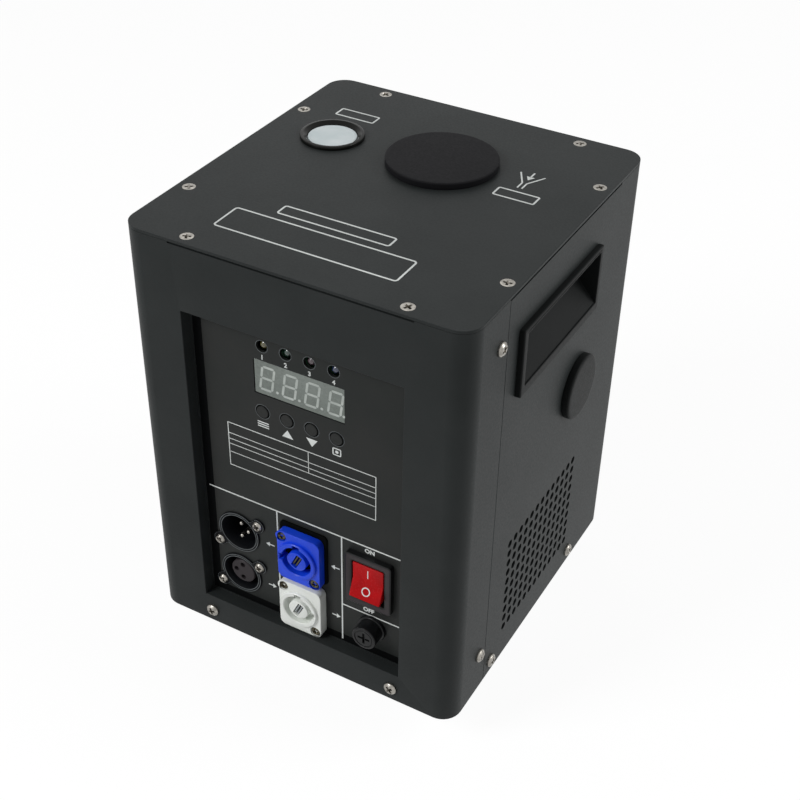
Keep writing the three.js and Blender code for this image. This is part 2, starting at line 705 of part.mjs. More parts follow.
// One cutter for the whole field of vent holes in a side
function ventCutter(side) {
  const rows = side > 0 ? VENT_ROWS : LEFT_VENT_ROWS;
  const range = [side * (SIDE_X + OVERRUN), side * (INNER_X - OVERRUN)].sort((a, b) => a - b);
  const holes = [];
  for (let row = 0; row < rows; row += 1) {
    for (let column = 0; column < VENT_COLUMNS; column += 1) {
      const y = (column - (VENT_COLUMNS - 1) / 2) * VENT_PITCH;
      const z = VENT_Z + (row - (rows - 1) / 2) * VENT_PITCH;
      holes.push(rodGeometry('x', range, [y, z], VENT_HOLE_RADIUS, SIDES_VENT));
    }
  }
  return solidOf(mergeGeometries(holes));
}

// Outline of the handle's pocket where it passes the side sheet
const HANDLE_MOUTH_LOW = HANDLE_Z - HANDLE_MOUTH_HEIGHT / 2 + HANDLE_MOUTH_RISE;
const HANDLE_MOUTH_HIGH = HANDLE_Z + HANDLE_MOUTH_HEIGHT / 2 + HANDLE_MOUTH_RISE;
const HANDLE_BODY_WIDTH = HANDLE_MOUTH_WIDTH + HANDLE_WALL * 2;

function handleCutter(side) {
  const grow = HANDLE_WALL + FIT_GAP;
  const xs = [side * (SIDE_X + OVERRUN), side * (INNER_X - OVERRUN)].sort((a, b) => a - b);
  const ys = about(HANDLE_Y, HANDLE_MOUTH_WIDTH + grow * 2);
  return block(xs, ys, [HANDLE_MOUTH_LOW - grow, HANDLE_MOUTH_HIGH + grow]);
}

function plugCutter() {
  const range = [INNER_X - OVERRUN, SIDE_X + OVERRUN];
  return rod('x', range, [PLUG_Y, PLUG_Z], PLUG_SHANK_RADIUS + FIT_GAP, SIDES_LARGE);
}

// Rear shell: the back and both sides, with the vents, the handle openings and the plug hole
function rearShell() {
  const rearY = [SEAM_Y + SEAM_GAP, REAR_Y + OVERRUN];
  const rear = block([-CASE_WIDTH, CASE_WIDTH], rearY, [-OVERRUN, CASE_HEIGHT]);
  const wall = caseWall().intersect(rear);
  const whole = join(wall, endFlange(1), sideFlange(-1), sideFlange(1), seamLap(-1), seamLap(1));
  const both = [-1, 1].flatMap((side) => [
    ventCutter(side),
    handleCutter(side),
    sideGroove(side),
    ...sideScrewCutters(side),
  ]);
  return cut(whole, endGroove(1), plugCutter(), ...both, ...endScrewCutters(1), ...topScrewCutters());
}

// Top plate with the outlet hole, the hopper mouth and countersunk screw holes
function topPlate() {
  const plate = prism('z', planOutline(0), [CASE_HEIGHT - TOP_SHEET, CASE_HEIGHT]);
  const through = [CASE_HEIGHT - TOP_SHEET - OVERRUN, CASE_HEIGHT + OVERRUN];
  const outlet = rod('z', through, [OUTLET_X, OUTLET_Y], NOZZLE_OUTER + FIT_GAP, SIDES_LARGE);
  const mouth = rod('z', through, [HOPPER_X, HOPPER_Y], HOPPER_BORE, SIDES_LARGE);
  const screws = TOP_SCREW_PLACES.flatMap((place) => countersink(place, through));
  return cut(plate, outlet, mouth, ...screws);
}

function countersink(place, through) {
  const cone = [CASE_HEIGHT - FLAT_HEAD_DEPTH, CASE_HEIGHT];
  const wide = FLAT_HEAD_RADIUS + SEAT_GAP;
  return [
    rod('z', through, place, SCREW_HOLE, SIDES_SCREW),
    rod('z', cone, place, SCREW_HOLE, SIDES_SCREW, wide),
    rod('z', [CASE_HEIGHT, CASE_HEIGHT + OVERRUN], place, wide, SIDES_SCREW),
  ];
}

// The cross that a screwdriver fits, cut down from a height at [x, y]
function crossCutter([x, y], height) {
  const zs = [height - CROSS_DEPTH, height + OVERRUN];
  const first = block(about(x, CROSS_LENGTH), about(y, CROSS_WIDTH), zs);
  const second = block(about(x, CROSS_WIDTH), about(y, CROSS_LENGTH), zs);
  return join(first, second);
}

// Countersunk screw, flush with the top plate
function flatScrew([x, y]) {
  const head = CASE_HEIGHT - FLAT_HEAD_DEPTH;
  const profile = [
    [0, SHELL_TOP - FLAT_SHANK_LENGTH],
    [SCREW_SHANK_RADIUS, SHELL_TOP - FLAT_SHANK_LENGTH],
    [SCREW_SHANK_RADIUS, head],
    [FLAT_HEAD_RADIUS, CASE_HEIGHT],
    [0, CASE_HEIGHT],
  ];
  return cut(revolve(profile, [x, y], SIDES_SCREW), crossCutter([x, y], CASE_HEIGHT));
}

// Pan-head screw, head up, with the underside of its head at the origin
function panScrew() {
  const profile = [
    [0, -SCREW_SHANK_LENGTH],
    [SCREW_SHANK_RADIUS, -SCREW_SHANK_LENGTH],
    [SCREW_SHANK_RADIUS, 0],
    [SCREW_HEAD_RADIUS, 0],
    [SCREW_HEAD_RADIUS, SCREW_EDGE_HEIGHT],
    [SCREW_HEAD_RADIUS / 2, SCREW_HEAD_HEIGHT],
    [0, SCREW_HEAD_HEIGHT],
  ];
  return cut(revolve(profile, [0, 0], SIDES_SCREW), crossCutter([0, 0], SCREW_HEAD_HEIGHT));
}

// Control panel: a plate behind the window with its top and bottom edges folded back
const PANEL_HALF_WIDTH = WINDOW_HALF_WIDTH + PANEL_MARGIN;
const PANEL_LOW = WINDOW_BOTTOM - PANEL_MARGIN;
const PANEL_HIGH = WINDOW_TOP + PANEL_MARGIN;

function controlPanel() {
  const xs = [-PANEL_HALF_WIDTH, PANEL_HALF_WIDTH];
  const plate = block(xs, [PANEL_Y, PANEL_BACK_Y], [PANEL_LOW, PANEL_HIGH]);
  const returns = [PANEL_Y, PANEL_Y + PANEL_RETURN];
  const top = block(xs, returns, [PANEL_HIGH - SHEET, PANEL_HIGH]);
  const bottom = block(xs, returns, [PANEL_LOW, PANEL_LOW + SHEET]);
  return cut(join(plate, top, bottom), ...panelHoles());
}

function panelHoles() {
  const through = [PANEL_Y - OVERRUN, PANEL_BACK_Y + OVERRUN];
  const hole = (x, z, radius, sides) => rod('y', through, [x, z], radius, sides);
  const window = block(
    about(DISPLAY_X, DISPLAY_WIDTH + FIT_GAP * 2),
    through,
    about(DISPLAY_Z, DISPLAY_HEIGHT + FIT_GAP * 2),
  );
  const rocker = block(
    about(SWITCH_X, SWITCH_BODY_WIDTH + FIT_GAP * 2),
    through,
    about(SWITCH_Z, SWITCH_BODY_HEIGHT + FIT_GAP * 2),
  );
  const lamps = lampPlaces().map(([, x]) => hole(x, LAMP_Z, LAMP_HOLE_RADIUS, SIDES_SMALL));
  const buttons = buttonPlaces().map(([, x]) => hole(x, BUTTON_Z, BUTTON_HOLE_RADIUS, SIDES_SMALL));
  const signals = [SIGNAL_IN_Z, SIGNAL_OUT_Z].flatMap((z) => [
    hole(SIGNAL_X, z, SIGNAL_BARREL_RADIUS + FIT_GAP, SIDES_LARGE),
    ...signalScrews(z).map(([x, high]) => hole(x, high, CONNECTOR_SHANK_RADIUS + FIT_GAP, SIDES_SCREW)),
  ]);
  const powers = [POWER_IN_Z, POWER_OUT_Z].flatMap((z) => [
    hole(POWER_X, z, POWER_BARREL_RADIUS + FIT_GAP, SIDES_LARGE),
    ...powerScrews(z).map(([x, high]) => hole(x, high, CONNECTOR_SHANK_RADIUS + FIT_GAP, SIDES_SCREW)),
  ]);
  const fuse = hole(FUSE_X, FUSE_Z, FUSE_BARREL_RADIUS + FIT_GAP, SIDES_MEDIUM);
  return [window, rocker, fuse, ...lamps, ...buttons, ...signals, ...powers];
}

// Names and places of the indicator lamps and the buttons, left to right
function lampPlaces() {
  const middle = (LAMP_COLOURS.length - 1) / 2;
  return LAMP_COLOURS.map((colour, i) => [colour, CONTROL_MIDDLE_X + (i - middle) * LAMP_PITCH]);
}

function buttonPlaces() {
  const middle = (BUTTON_NAMES.length - 1) / 2;
  return BUTTON_NAMES.map((name, i) => [name, CONTROL_MIDDLE_X + (i - middle) * BUTTON_PITCH]);
}

// Two screws on a diagonal: the signal connectors lie on their side, the power ones stand upright
function signalScrews(z) {
  const [x, up] = [CONNECTOR_SCREW_LONG / 2, CONNECTOR_SCREW_SHORT / 2];
  return [[SIGNAL_X + x, z + up], [SIGNAL_X - x, z - up]];
}

function powerScrews(z) {
  const [x, up] = [CONNECTOR_SCREW_SHORT / 2, CONNECTOR_SCREW_LONG / 2];
  return [[POWER_X - x, z + up], [POWER_X + x, z - up]];
}

// Carrying handle: a frame proud of the side and a pocket with a ramp for the fingers
function handle(side) {
  const flip = (points) => polygon(points.map(([x, z]) => [side * x, z]));
  const [low, high] = [HANDLE_MOUTH_LOW, HANDLE_MOUTH_HIGH];
  const face = SIDE_X + HANDLE_PROUD;
  const back = SIDE_X - HANDLE_DEPTH;
  const frameX = [side * (SIDE_X + SEAT_GAP), side * face].sort((a, b) => a - b);
  const frame = block(frameX, about(HANDLE_Y, HANDLE_FRAME_WIDTH), about(HANDLE_Z, HANDLE_FRAME_HEIGHT));
  const outer = flip([
    [SIDE_X + HANDLE_PROUD / 2, low - HANDLE_WALL],
    [SIDE_X + HANDLE_PROUD / 2, high + HANDLE_WALL],
    [back - HANDLE_WALL, high + HANDLE_WALL],
    [back - HANDLE_WALL, high - HANDLE_BACK - HANDLE_WALL],
    [SIDE_X - HANDLE_WALL, low - HANDLE_WALL],
  ]);
  const inner = flip([
    [face + OVERRUN, low],
    [face + OVERRUN, high],
    [back, high],
    [back, high - HANDLE_BACK],
    [SIDE_X, low],
  ]);
  const body = prism('y', outer, about(HANDLE_Y, HANDLE_BODY_WIDTH));
  return cut(join(frame, body), prism('y', inner, about(HANDLE_Y, HANDLE_MOUTH_WIDTH)));
}

// Round plug pushed into the right side
function sidePlug() {
  const face = SIDE_X + PLUG_PROUD;
  const seat = SIDE_X + SEAT_GAP;
  const centre = [PLUG_Y, PLUG_Z];
  const disc = rod('x', [seat, face - PLUG_EDGE], centre, PLUG_RADIUS, SIDES_LARGE);
  const bevel = rod('x', [face - PLUG_EDGE, face], centre, PLUG_RADIUS, SIDES_LARGE, PLUG_RADIUS - PLUG_EDGE);
  const shank = rod('x', [SIDE_X - PLUG_SHANK_LENGTH, seat + WELD], centre, PLUG_SHANK_RADIUS, SIDES_LARGE);
  return join(disc, bevel, shank);
}

// Nozzle: its rim stands on the top plate and its bore leads down to the chamber
function sparkNozzle() {
  const seat = CASE_HEIGHT + SEAT_GAP;
  const ledge = CASE_HEIGHT - NOZZLE_SEAT_DEPTH;
  const bottom = CASE_HEIGHT - NOZZLE_LENGTH;
  const profile = [
    [NOZZLE_BORE_RADIUS, bottom],
    [NOZZLE_OUTER, bottom],
    [NOZZLE_OUTER, seat],
    [NOZZLE_RIM_RADIUS, seat],
    [NOZZLE_RIM_RADIUS, CASE_HEIGHT + NOZZLE_PROUD],
    [NOZZLE_SEAT_RADIUS, CASE_HEIGHT + NOZZLE_PROUD],
    [NOZZLE_SEAT_RADIUS, ledge],
    [NOZZLE_BORE_RADIUS, ledge],
  ];
  return revolveRing(profile, [OUTLET_X, OUTLET_Y], SIDES_LARGE);
}

// Loose disc that keeps dust out of the nozzle
function outletDisc() {
  const low = CASE_HEIGHT - NOZZLE_SEAT_DEPTH + SEAT_GAP;
  const radius = NOZZLE_SEAT_RADIUS - FIT_GAP;
  return rod('z', [low, low + DISC_THICKNESS], [OUTLET_X, OUTLET_Y], radius, SIDES_LARGE);
}

// Heated chamber: a steel pot with an air hole below and a port for the feed tube
function heatingChamber() {
  const centre = [OUTLET_X, OUTLET_Y];
  const wall = rod('z', [CHAMBER_BOTTOM, CHAMBER_TOP], centre, CHAMBER_OUTER, SIDES_LARGE);
  const floor = CHAMBER_BOTTOM + CHAMBER_FLOOR;
  const bore = rod('z', [floor, CHAMBER_TOP + OVERRUN], centre, CHAMBER_BORE, SIDES_LARGE);
  const air = [CHAMBER_BOTTOM - OVERRUN, floor + OVERRUN];
  const airHole = rod('z', air, centre, AIR_HOLE_RADIUS, SIDES_SMALL);
  const port = rod('x', [OUTLET_X, HOPPER_X], [FEED_Y, FEED_Z], FEED_OUTER + FIT_GAP, SIDES_MEDIUM);
  return cut(wall, bore, airHole, port);
}

// Ceramic sleeve between the chamber and the coil
const SLEEVE_BOTTOM = CHAMBER_BOTTOM + SLEEVE_LIFT;
const SLEEVE_BORE = CHAMBER_OUTER + FIT_GAP;
const SLEEVE_OUTER = SLEEVE_BORE + SLEEVE_WALL;

function ceramicSleeve() {
  const profile = [
    [SLEEVE_BORE, SLEEVE_BOTTOM],
    [SLEEVE_OUTER, SLEEVE_BOTTOM],
    [SLEEVE_OUTER, SLEEVE_BOTTOM + SLEEVE_HEIGHT],
    [SLEEVE_BORE, SLEEVE_BOTTOM + SLEEVE_HEIGHT],
  ];
  return revolveRing(profile, [OUTLET_X, OUTLET_Y], SIDES_LARGE);
}

// A closed tube swept along points, with a ring of corners square to the path at each
function sweptTube(points, ringAt, sides) {
  const places = [];
  points.forEach((point, i) => {
    for (let k = 0; k < sides; k += 1) places.push(...ringAt(point, i, k));
  });
  const corners = [];
  for (let i = 0; i + 1 < points.length; i += 1) {
    for (let k = 0; k < sides; k += 1) {
      const [a, b] = [i * sides + k, i * sides + (k + 1) % sides];
      corners.push(a, b, b + sides, a, b + sides, a + sides);
    }
  }
  const last = (points.length - 1) * sides;
  for (let k = 1; k + 1 < sides; k += 1) {
    corners.push(0, k + 1, k, last, last + k, last + k + 1);
  }
  const geometry = new THREE.BufferGeometry();
  geometry.setAttribute('position', new THREE.Float32BufferAttribute(places, 3));
  geometry.setIndex(corners);
  return solidOf(geometry);
}

// Turns of a helix about an axis: angle and advance at each step
function helixSteps(turns, stepsPerTurn, pitch) {
  const count = Math.round(turns * stepsPerTurn);
  return Array.from({ length: count + 1 }, (_, i) => ({
    angle: (i / stepsPerTurn) * Math.PI * 2,
    advance: (i / stepsPerTurn) * pitch,
  }));
}

// Induction coil: round copper wire wound on the sleeve
function inductionCoil() {
  const radius = SLEEVE_OUTER + RUN_GAP + COIL_WIRE_RADIUS;
  const bottom = SLEEVE_BOTTOM + (SLEEVE_HEIGHT - COIL_TURNS * COIL_PITCH) / 2;
  const ring = ({ angle, advance }, i, k) => {
    const turn = (k / COIL_SIDES) * Math.PI * 2;
    const out = radius + COIL_WIRE_RADIUS * Math.cos(turn);
    const up = bottom + advance + COIL_WIRE_RADIUS * Math.sin(turn);
    return [OUTLET_X + out * Math.cos(angle), OUTLET_Y + out * Math.sin(angle), up];
  };
  return sweptTube(helixSteps(COIL_TURNS, COIL_STEPS_PER_TURN, COIL_PITCH), ring, COIL_SIDES);
}

// Blower housing on the base pan, open to the room at its front and to the chamber above
const BLOWER_FLOOR_Z = SHEET + SEAT_GAP;

function blowerHousing() {
  const [xs, ys] = [about(OUTLET_X, BLOWER_WIDTH), about(OUTLET_Y, BLOWER_WIDTH)];
  const body = block(xs, ys, [BLOWER_FLOOR_Z, BLOWER_TOP]);
  const cavityZ = [BLOWER_FLOOR_Z + BLOWER_WALL, BLOWER_TOP - BLOWER_WALL];
  const centre = [OUTLET_X, OUTLET_Y];
  const cavity = rod('z', cavityZ, centre, BLOWER_WIDTH / 2 - BLOWER_WALL, SIDES_LARGE);
  const outletZ = [BLOWER_TOP - BLOWER_WALL - OVERRUN, BLOWER_TOP + OVERRUN];
  const outlet = rod('z', outletZ, centre, AIR_HOLE_RADIUS, SIDES_SMALL);
  const inletY = [ys[0] - OVERRUN, OUTLET_Y];
  const inletZ = about((cavityZ[0] + cavityZ[1]) / 2, BLOWER_INLET_HEIGHT);
  const inlet = block(about(OUTLET_X, BLOWER_INLET_WIDTH), inletY, inletZ);
  const pin = rod('z', [cavityZ[0] - WELD, cavityZ[0] + PIN_LENGTH], centre, PIN_RADIUS, SIDES_SCREW);
  return join(cut(body, cavity, outlet, inlet), pin);
}

// Blower rotor: a disc, a hub and straight blades on the housing's pin
function blowerRotor() {
  const low = BLOWER_FLOOR_Z + BLOWER_WALL + RUN_GAP;
  const centre = [OUTLET_X, OUTLET_Y];
  const disc = rod('z', [low, low + BLOWER_DISC_THICKNESS], centre, BLOWER_ROTOR_RADIUS, SIDES_LARGE);
  const hub = rod('z', [low, low + BLOWER_ROTOR_HEIGHT], centre, BLOWER_HUB_RADIUS, SIDES_MEDIUM);
  const blades = Array.from({ length: BLOWER_BLADES }, (_, i) => {
    const blade = new THREE.BoxGeometry(
      BLOWER_ROTOR_RADIUS - BLOWER_HUB_RADIUS,
      BLOWER_BLADE_THICKNESS,
      BLOWER_ROTOR_HEIGHT - WELD,
    );
    blade.translate((BLOWER_ROTOR_RADIUS + BLOWER_HUB_RADIUS) / 2 - WELD, 0, BLOWER_ROTOR_HEIGHT / 2);
    blade.rotateZ((i / BLOWER_BLADES) * Math.PI * 2);
    blade.translate(OUTLET_X, OUTLET_Y, low);
    return solidOf(blade);
  });
  const bore = rod('z', [low - OVERRUN, low + PIN_LENGTH], centre, PIN_RADIUS + FIT_GAP, SIDES_SCREW);
  return cut(join(disc, hub, ...blades), bore);
}

// Hopper: a barrel under the mouth in the top plate, a cone and a spout into the feed tube
const HOPPER_TOP = CASE_HEIGHT - TOP_SHEET - SEAT_GAP;
const COLLAR_TOP = FEED_Z + FEED_OUTER + COLLAR_HEIGHT;
const SPOUT_BOTTOM = COLLAR_TOP - SPOUT_LAP;
const CONE_BOTTOM = COLLAR_TOP + SPOUT_RISE;
const BARREL_BOTTOM = CONE_BOTTOM + HOPPER_CONE;

function hopper() {
  const outer = HOPPER_BORE + HOPPER_WALL;
  const spout = SPOUT_BORE + SPOUT_WALL;
  const profile = [
    [SPOUT_BORE, SPOUT_BOTTOM],
    [spout, SPOUT_BOTTOM],
    [spout, CONE_BOTTOM],
    [outer, BARREL_BOTTOM],
    [outer, HOPPER_TOP - HOPPER_WALL],
    [outer + HOPPER_RIM, HOPPER_TOP - HOPPER_WALL],
    [outer + HOPPER_RIM, HOPPER_TOP],
    [HOPPER_BORE, HOPPER_TOP],
    [HOPPER_BORE, BARREL_BOTTOM],
    [SPOUT_BORE, CONE_BOTTOM],
  ];
  return revolveRing(profile, [HOPPER_X, HOPPER_Y], SIDES_LARGE);
}

// Hopper cap: a flat disc on the top plate with a skirt that enters the mouth
function hopperCap() {
  const seat = CASE_HEIGHT + SEAT_GAP;
  const top = CASE_HEIGHT + CAP_PROUD;
  const skirt = HOPPER_BORE - RUN_GAP;
  const inside = skirt - CAP_SKIRT_WALL;
  const profile = [
    [0, seat],
    [inside, seat],
    [inside, CASE_HEIGHT - CAP_SKIRT_DEPTH],
    [skirt, CASE_HEIGHT - CAP_SKIRT_DEPTH],
    [skirt, seat],
    [CAP_RADIUS, seat],
    [CAP_RADIUS, top - CAP_EDGE],
    [CAP_RADIUS - CAP_EDGE, top],
    [0, top],
  ];
  return revolve(profile, [HOPPER_X, HOPPER_Y], SIDES_LARGE);
}

// Feed tube with the collar that takes the hopper's spout
const FEED_START_X = OUTLET_X + CHAMBER_BORE;

function feedTube() {
  const centre = [FEED_Y, FEED_Z];
  const barrel = rod('x', [FEED_START_X, FEED_END_X], centre, FEED_OUTER, SIDES_MEDIUM);
  const collarOuter = SPOUT_BORE + SPOUT_WALL * 2 + FIT_GAP;
  const collar = rod('z', [FEED_Z, COLLAR_TOP], [HOPPER_X, HOPPER_Y], collarOuter, SIDES_MEDIUM);
  const bore = rod('x', [FEED_START_X - OVERRUN, FEED_END_X - FEED_WALL], centre, FEED_BORE, SIDES_MEDIUM);
  const mouthRadius = SPOUT_BORE + SPOUT_WALL + FIT_GAP;
  const mouth = rod('z', [FEED_Z, COLLAR_TOP + OVERRUN], [HOPPER_X, HOPPER_Y], mouthRadius, SIDES_MEDIUM);
  const shaftX = [FEED_END_X - FEED_WALL - OVERRUN, FEED_END_X + OVERRUN];
  const shaft = rod('x', shaftX, centre, SHAFT_RADIUS + FIT_GAP, SIDES_SMALL);
  return cut(join(barrel, collar), bore, mouth, shaft);
}

// Feed screw: a core with one helical flight, and a shaft into the gear motor
function feedAuger() {
  const start = FEED_START_X - AUGER_REACH;
  const end = FEED_END_X - AUGER_RUNOUT;
  const centre = [FEED_Y, FEED_Z];
  const core = rod('x', [start, FEED_END_X - FEED_WALL - RUN_GAP], centre, AUGER_CORE, SIDES_SMALL);
  const shaftEnd = MOTOR_FACE_X + SHAFT_ENTRY;
  const shaft = rod('x', [FEED_END_X - AUGER_RUNOUT, shaftEnd], centre, SHAFT_RADIUS, SIDES_SMALL);
  const turns = (end - start - AUGER_FLIGHT) / AUGER_PITCH;
  const inner = AUGER_CORE - WELD * 2;
  const section = [[inner, 0], [AUGER_RADIUS, 0], [AUGER_RADIUS, AUGER_FLIGHT], [inner, AUGER_FLIGHT]];
  const ring = ({ angle, advance }, i, k) => {
    const [out, along] = section[k];
    return [start + advance + along, FEED_Y + out * Math.cos(angle), FEED_Z + out * Math.sin(angle)];
  };
  const flight = sweptTube(helixSteps(turns, AUGER_STEPS_PER_TURN, AUGER_PITCH), ring, section.length);
  return join(core, shaft, flight);
}

// Gear motor on an upright bracket that also carries the end of the feed tube
const BRACKET_X = [FEED_END_X + SEAT_GAP, FEED_END_X + SEAT_GAP + BRACKET_THICKNESS];
const MOTOR_FACE_X = BRACKET_X[1];

function gearMotor() {
  const centre = [FEED_Y, FEED_Z];
  const floor = SHEET + SEAT_GAP;
  const ys = about(FEED_Y, BRACKET_HALF_WIDTH * 2);
  const bracket = block(BRACKET_X, ys, [floor, FEED_Z + MOTOR_RADIUS]);
  const footX = [BRACKET_X[0], BRACKET_X[0] + BRACKET_FOOT];
  const bracketFoot = block(footX, ys, [floor, floor + BRACKET_THICKNESS]);
  const bossEnd = MOTOR_FACE_X + MOTOR_BOSS_LENGTH;
  const boss = rod('x', [MOTOR_FACE_X - WELD, bossEnd], centre, MOTOR_BOSS_RADIUS, SIDES_SMALL);
  const body = rod('x', [bossEnd - WELD, bossEnd + MOTOR_LENGTH], centre, MOTOR_RADIUS, SIDES_MEDIUM);
  const boreX = [BRACKET_X[0] - OVERRUN, MOTOR_FACE_X + SHAFT_ENTRY + RUN_GAP];
  const bore = rod('x', boreX, centre, SHAFT_RADIUS + FIT_GAP, SIDES_SMALL);
  return cut(join(bracket, bracketFoot, boss, body), bore);
}

// Cooling fan behind the right vent: frame with struts, and a bladed rotor on its pin
const FAN_FACE_X = INNER_X - SEAT_GAP;
const FAN_BACK_X = FAN_FACE_X - FAN_DEPTH;

function fanFrame() {
  const centre = [0, VENT_Z];
  const outline = roundedRectangle([0, VENT_Z], FAN_WIDTH, FAN_WIDTH, FAN_CORNER);
  const body = prism('x', outline, [FAN_BACK_X, FAN_FACE_X]);
  const bore = rod('x', [FAN_BACK_X - OVERRUN, FAN_FACE_X + OVERRUN], centre, FAN_BORE, SIDES_LARGE);
  const plateX = [FAN_BACK_X, FAN_BACK_X + FAN_PLATE];
  const hub = rod('x', plateX, centre, FAN_HUB_RADIUS, SIDES_MEDIUM);
  const struts = Array.from({ length: FAN_STRUTS }, (_, i) => {
    const strut = new THREE.BoxGeometry(FAN_PLATE, FAN_STRUT, FAN_BORE + WELD - FAN_HUB_RADIUS / 2);
    strut.translate((plateX[0] + plateX[1]) / 2, 0, (FAN_BORE + WELD + FAN_HUB_RADIUS / 2) / 2);
    strut.rotateX(((i + FAN_STRUT_TURN_SHARE) / FAN_STRUTS) * Math.PI * 2).translate(0, 0, VENT_Z);
    return solidOf(strut);
  });
  const pin = rod('x', [plateX[1] - WELD, plateX[1] + PIN_LENGTH], centre, PIN_RADIUS, SIDES_SCREW);
  return join(cut(body, bore), hub, ...struts, pin);
}

function fanRotor() {
  const low = FAN_BACK_X + FAN_PLATE + RUN_GAP;
  const centre = [0, VENT_Z];
  const hub = rod('x', [low, low + FAN_HUB_LENGTH], centre, FAN_HUB_RADIUS, SIDES_MEDIUM);
  const reach = FAN_BORE - RUN_GAP * 2;
  const blades = Array.from({ length: FAN_BLADES }, (_, i) => {
    const blade = new THREE.BoxGeometry(FAN_BLADE_THICKNESS, FAN_BLADE_CHORD, reach - FAN_HUB_RADIUS / 2);
    blade.rotateZ(FAN_BLADE_TURN);
    blade.translate(low + FAN_HUB_LENGTH / 2, 0, (reach + FAN_HUB_RADIUS / 2) / 2);
    blade.rotateX((i / FAN_BLADES) * Math.PI * 2).translate(0, 0, VENT_Z);
    return solidOf(blade);
  });
  const bore = rod('x', [low - OVERRUN, low + PIN_LENGTH], centre, PIN_RADIUS + FIT_GAP, SIDES_SCREW);
  return cut(join(hub, ...blades), bore);
}

// Power board on the pan's posts, with its transformer, a capacitor and the coil driver's heat sink
function powerBoard() {
  const low = POST_HEIGHT + SEAT_GAP;
  const board = block(POWER_BOARD_X, POWER_BOARD_Y, [low, low + BOARD_SHEET]);
  const top = low + BOARD_SHEET - WELD;
  const parts = POWER_PART_SHARES.map(({ x, y, wide, deep, tall }) => {
    const [u, v] = onPowerBoard(x, y);
    const [width, depth] = [wide * spanOf(POWER_BOARD_X), deep * spanOf(POWER_BOARD_Y)];
    return block(about(u, width), about(v, depth), [top, top + tall * POWER_PART_HEIGHT]);
  });
  return join(board, ...parts, heatSink(top));
}

function spanOf([from, to]) {
  return to - from;
}

// A place on the power board from its shares of the board's width and depth
function onPowerBoard(x, y) {
  return [POWER_BOARD_X[0] + x * spanOf(POWER_BOARD_X), POWER_BOARD_Y[0] + y * spanOf(POWER_BOARD_Y)];
}

function heatSink(bottom) {
  const [middle, along] = onPowerBoard(...HEATSINK_PLACE_SHARES);
  const ys = about(along, HEATSINK_DEPTH);
  const base = block(about(middle, HEATSINK_WIDTH), ys, [bottom, bottom + HEATSINK_BASE]);
  const pitch = (HEATSINK_WIDTH - HEATSINK_FIN_THICKNESS) / (HEATSINK_FINS - 1);
  const fins = Array.from({ length: HEATSINK_FINS }, (_, i) => {
    const x = middle - HEATSINK_WIDTH / 2 + i * pitch;
    return block([x, x + HEATSINK_FIN_THICKNESS], ys, [bottom, bottom + HEATSINK_HEIGHT]);
  });
  return join(base, ...fins);
}

// Display board on spacers behind the panel, with a small switch under each button
const TACT_FACE_Y = DISPLAY_BOARD_Y - TACT_HEIGHT;
const BUTTON_BACK_Y = TACT_FACE_Y - BUTTON_TRAVEL - FIT_GAP;

function displayBoard() {
  const xs = about(DISPLAY_X, DISPLAY_BOARD_WIDTH);
  const zs = [DISPLAY_BOARD_BOTTOM, DISPLAY_BOARD_TOP];
  const board = block(xs, [DISPLAY_BOARD_Y, DISPLAY_BOARD_Y + BOARD_SHEET], zs);
  const spacerY = [PANEL_BACK_Y + SEAT_GAP, DISPLAY_BOARD_Y + WELD];
  const spacers = xs.flatMap((x) => zs.map((z) => {
    const inX = x + Math.sign(DISPLAY_X - x) * POST_EDGE;
    const inZ = z + Math.sign(DISPLAY_Z - z) * POST_EDGE;
    return rod('y', spacerY, [inX, inZ], POST_RADIUS, SIDES_SCREW);
  }));
  const switches = buttonPlaces().map(([, x]) => {
    const ys = [TACT_FACE_Y, DISPLAY_BOARD_Y + WELD];
    return block(about(x, TACT_WIDTH), ys, about(BUTTON_Z, TACT_WIDTH));
  });
  return join(board, ...spacers, ...switches);
}

// Four-digit display, its face just behind the panel's
function displayModule() {
  const ys = [DISPLAY_FACE_Y, DISPLAY_FACE_Y + DISPLAY_DEPTH];
  return block(about(DISPLAY_X, DISPLAY_WIDTH), ys, about(DISPLAY_Z, DISPLAY_HEIGHT));
}

// Indicator lamp: a round-nosed body standing on the display board
function lamp(x) {
  const tip = PANEL_Y + LAMP_INSET;
  const shoulder = tip + LAMP_RADIUS / 2;
  const centre = [x, LAMP_Z];
  const nose = rod('y', [tip, shoulder], centre, LAMP_RADIUS / 2, SIDES_SMALL, LAMP_RADIUS);
  const body = rod('y', [shoulder, DISPLAY_BOARD_Y - SEAT_GAP], centre, LAMP_RADIUS, SIDES_SMALL);
  return join(nose, body);
}

// Push button with a collar that keeps it behind the panel
function button(x) {
  const centre = [x, BUTTON_Z];
  const stem = rod('y', [PANEL_Y - BUTTON_PROUD, BUTTON_BACK_Y], centre, BUTTON_RADIUS, SIDES_SMALL);
  const collarY = [PANEL_BACK_Y + SEAT_GAP, PANEL_BACK_Y + SEAT_GAP + BUTTON_COLLAR_THICKNESS];
  return join(stem, rod('y', collarY, centre, BUTTON_COLLAR_RADIUS, SIDES_SMALL));
}

// A connector's fixing screw: a head on the given face and a shank behind it
function fixingScrew([x, z], faceY, depth) {
  const head = rod('y', [faceY - CONNECTOR_HEAD_HEIGHT, faceY], [x, z], CONNECTOR_HEAD_RADIUS, SIDES_SCREW);
  const shank = rod('y', [faceY - WELD, faceY + depth], [x, z], CONNECTOR_SHANK_RADIUS, SIDES_SCREW);
  return join(head, shank);
}

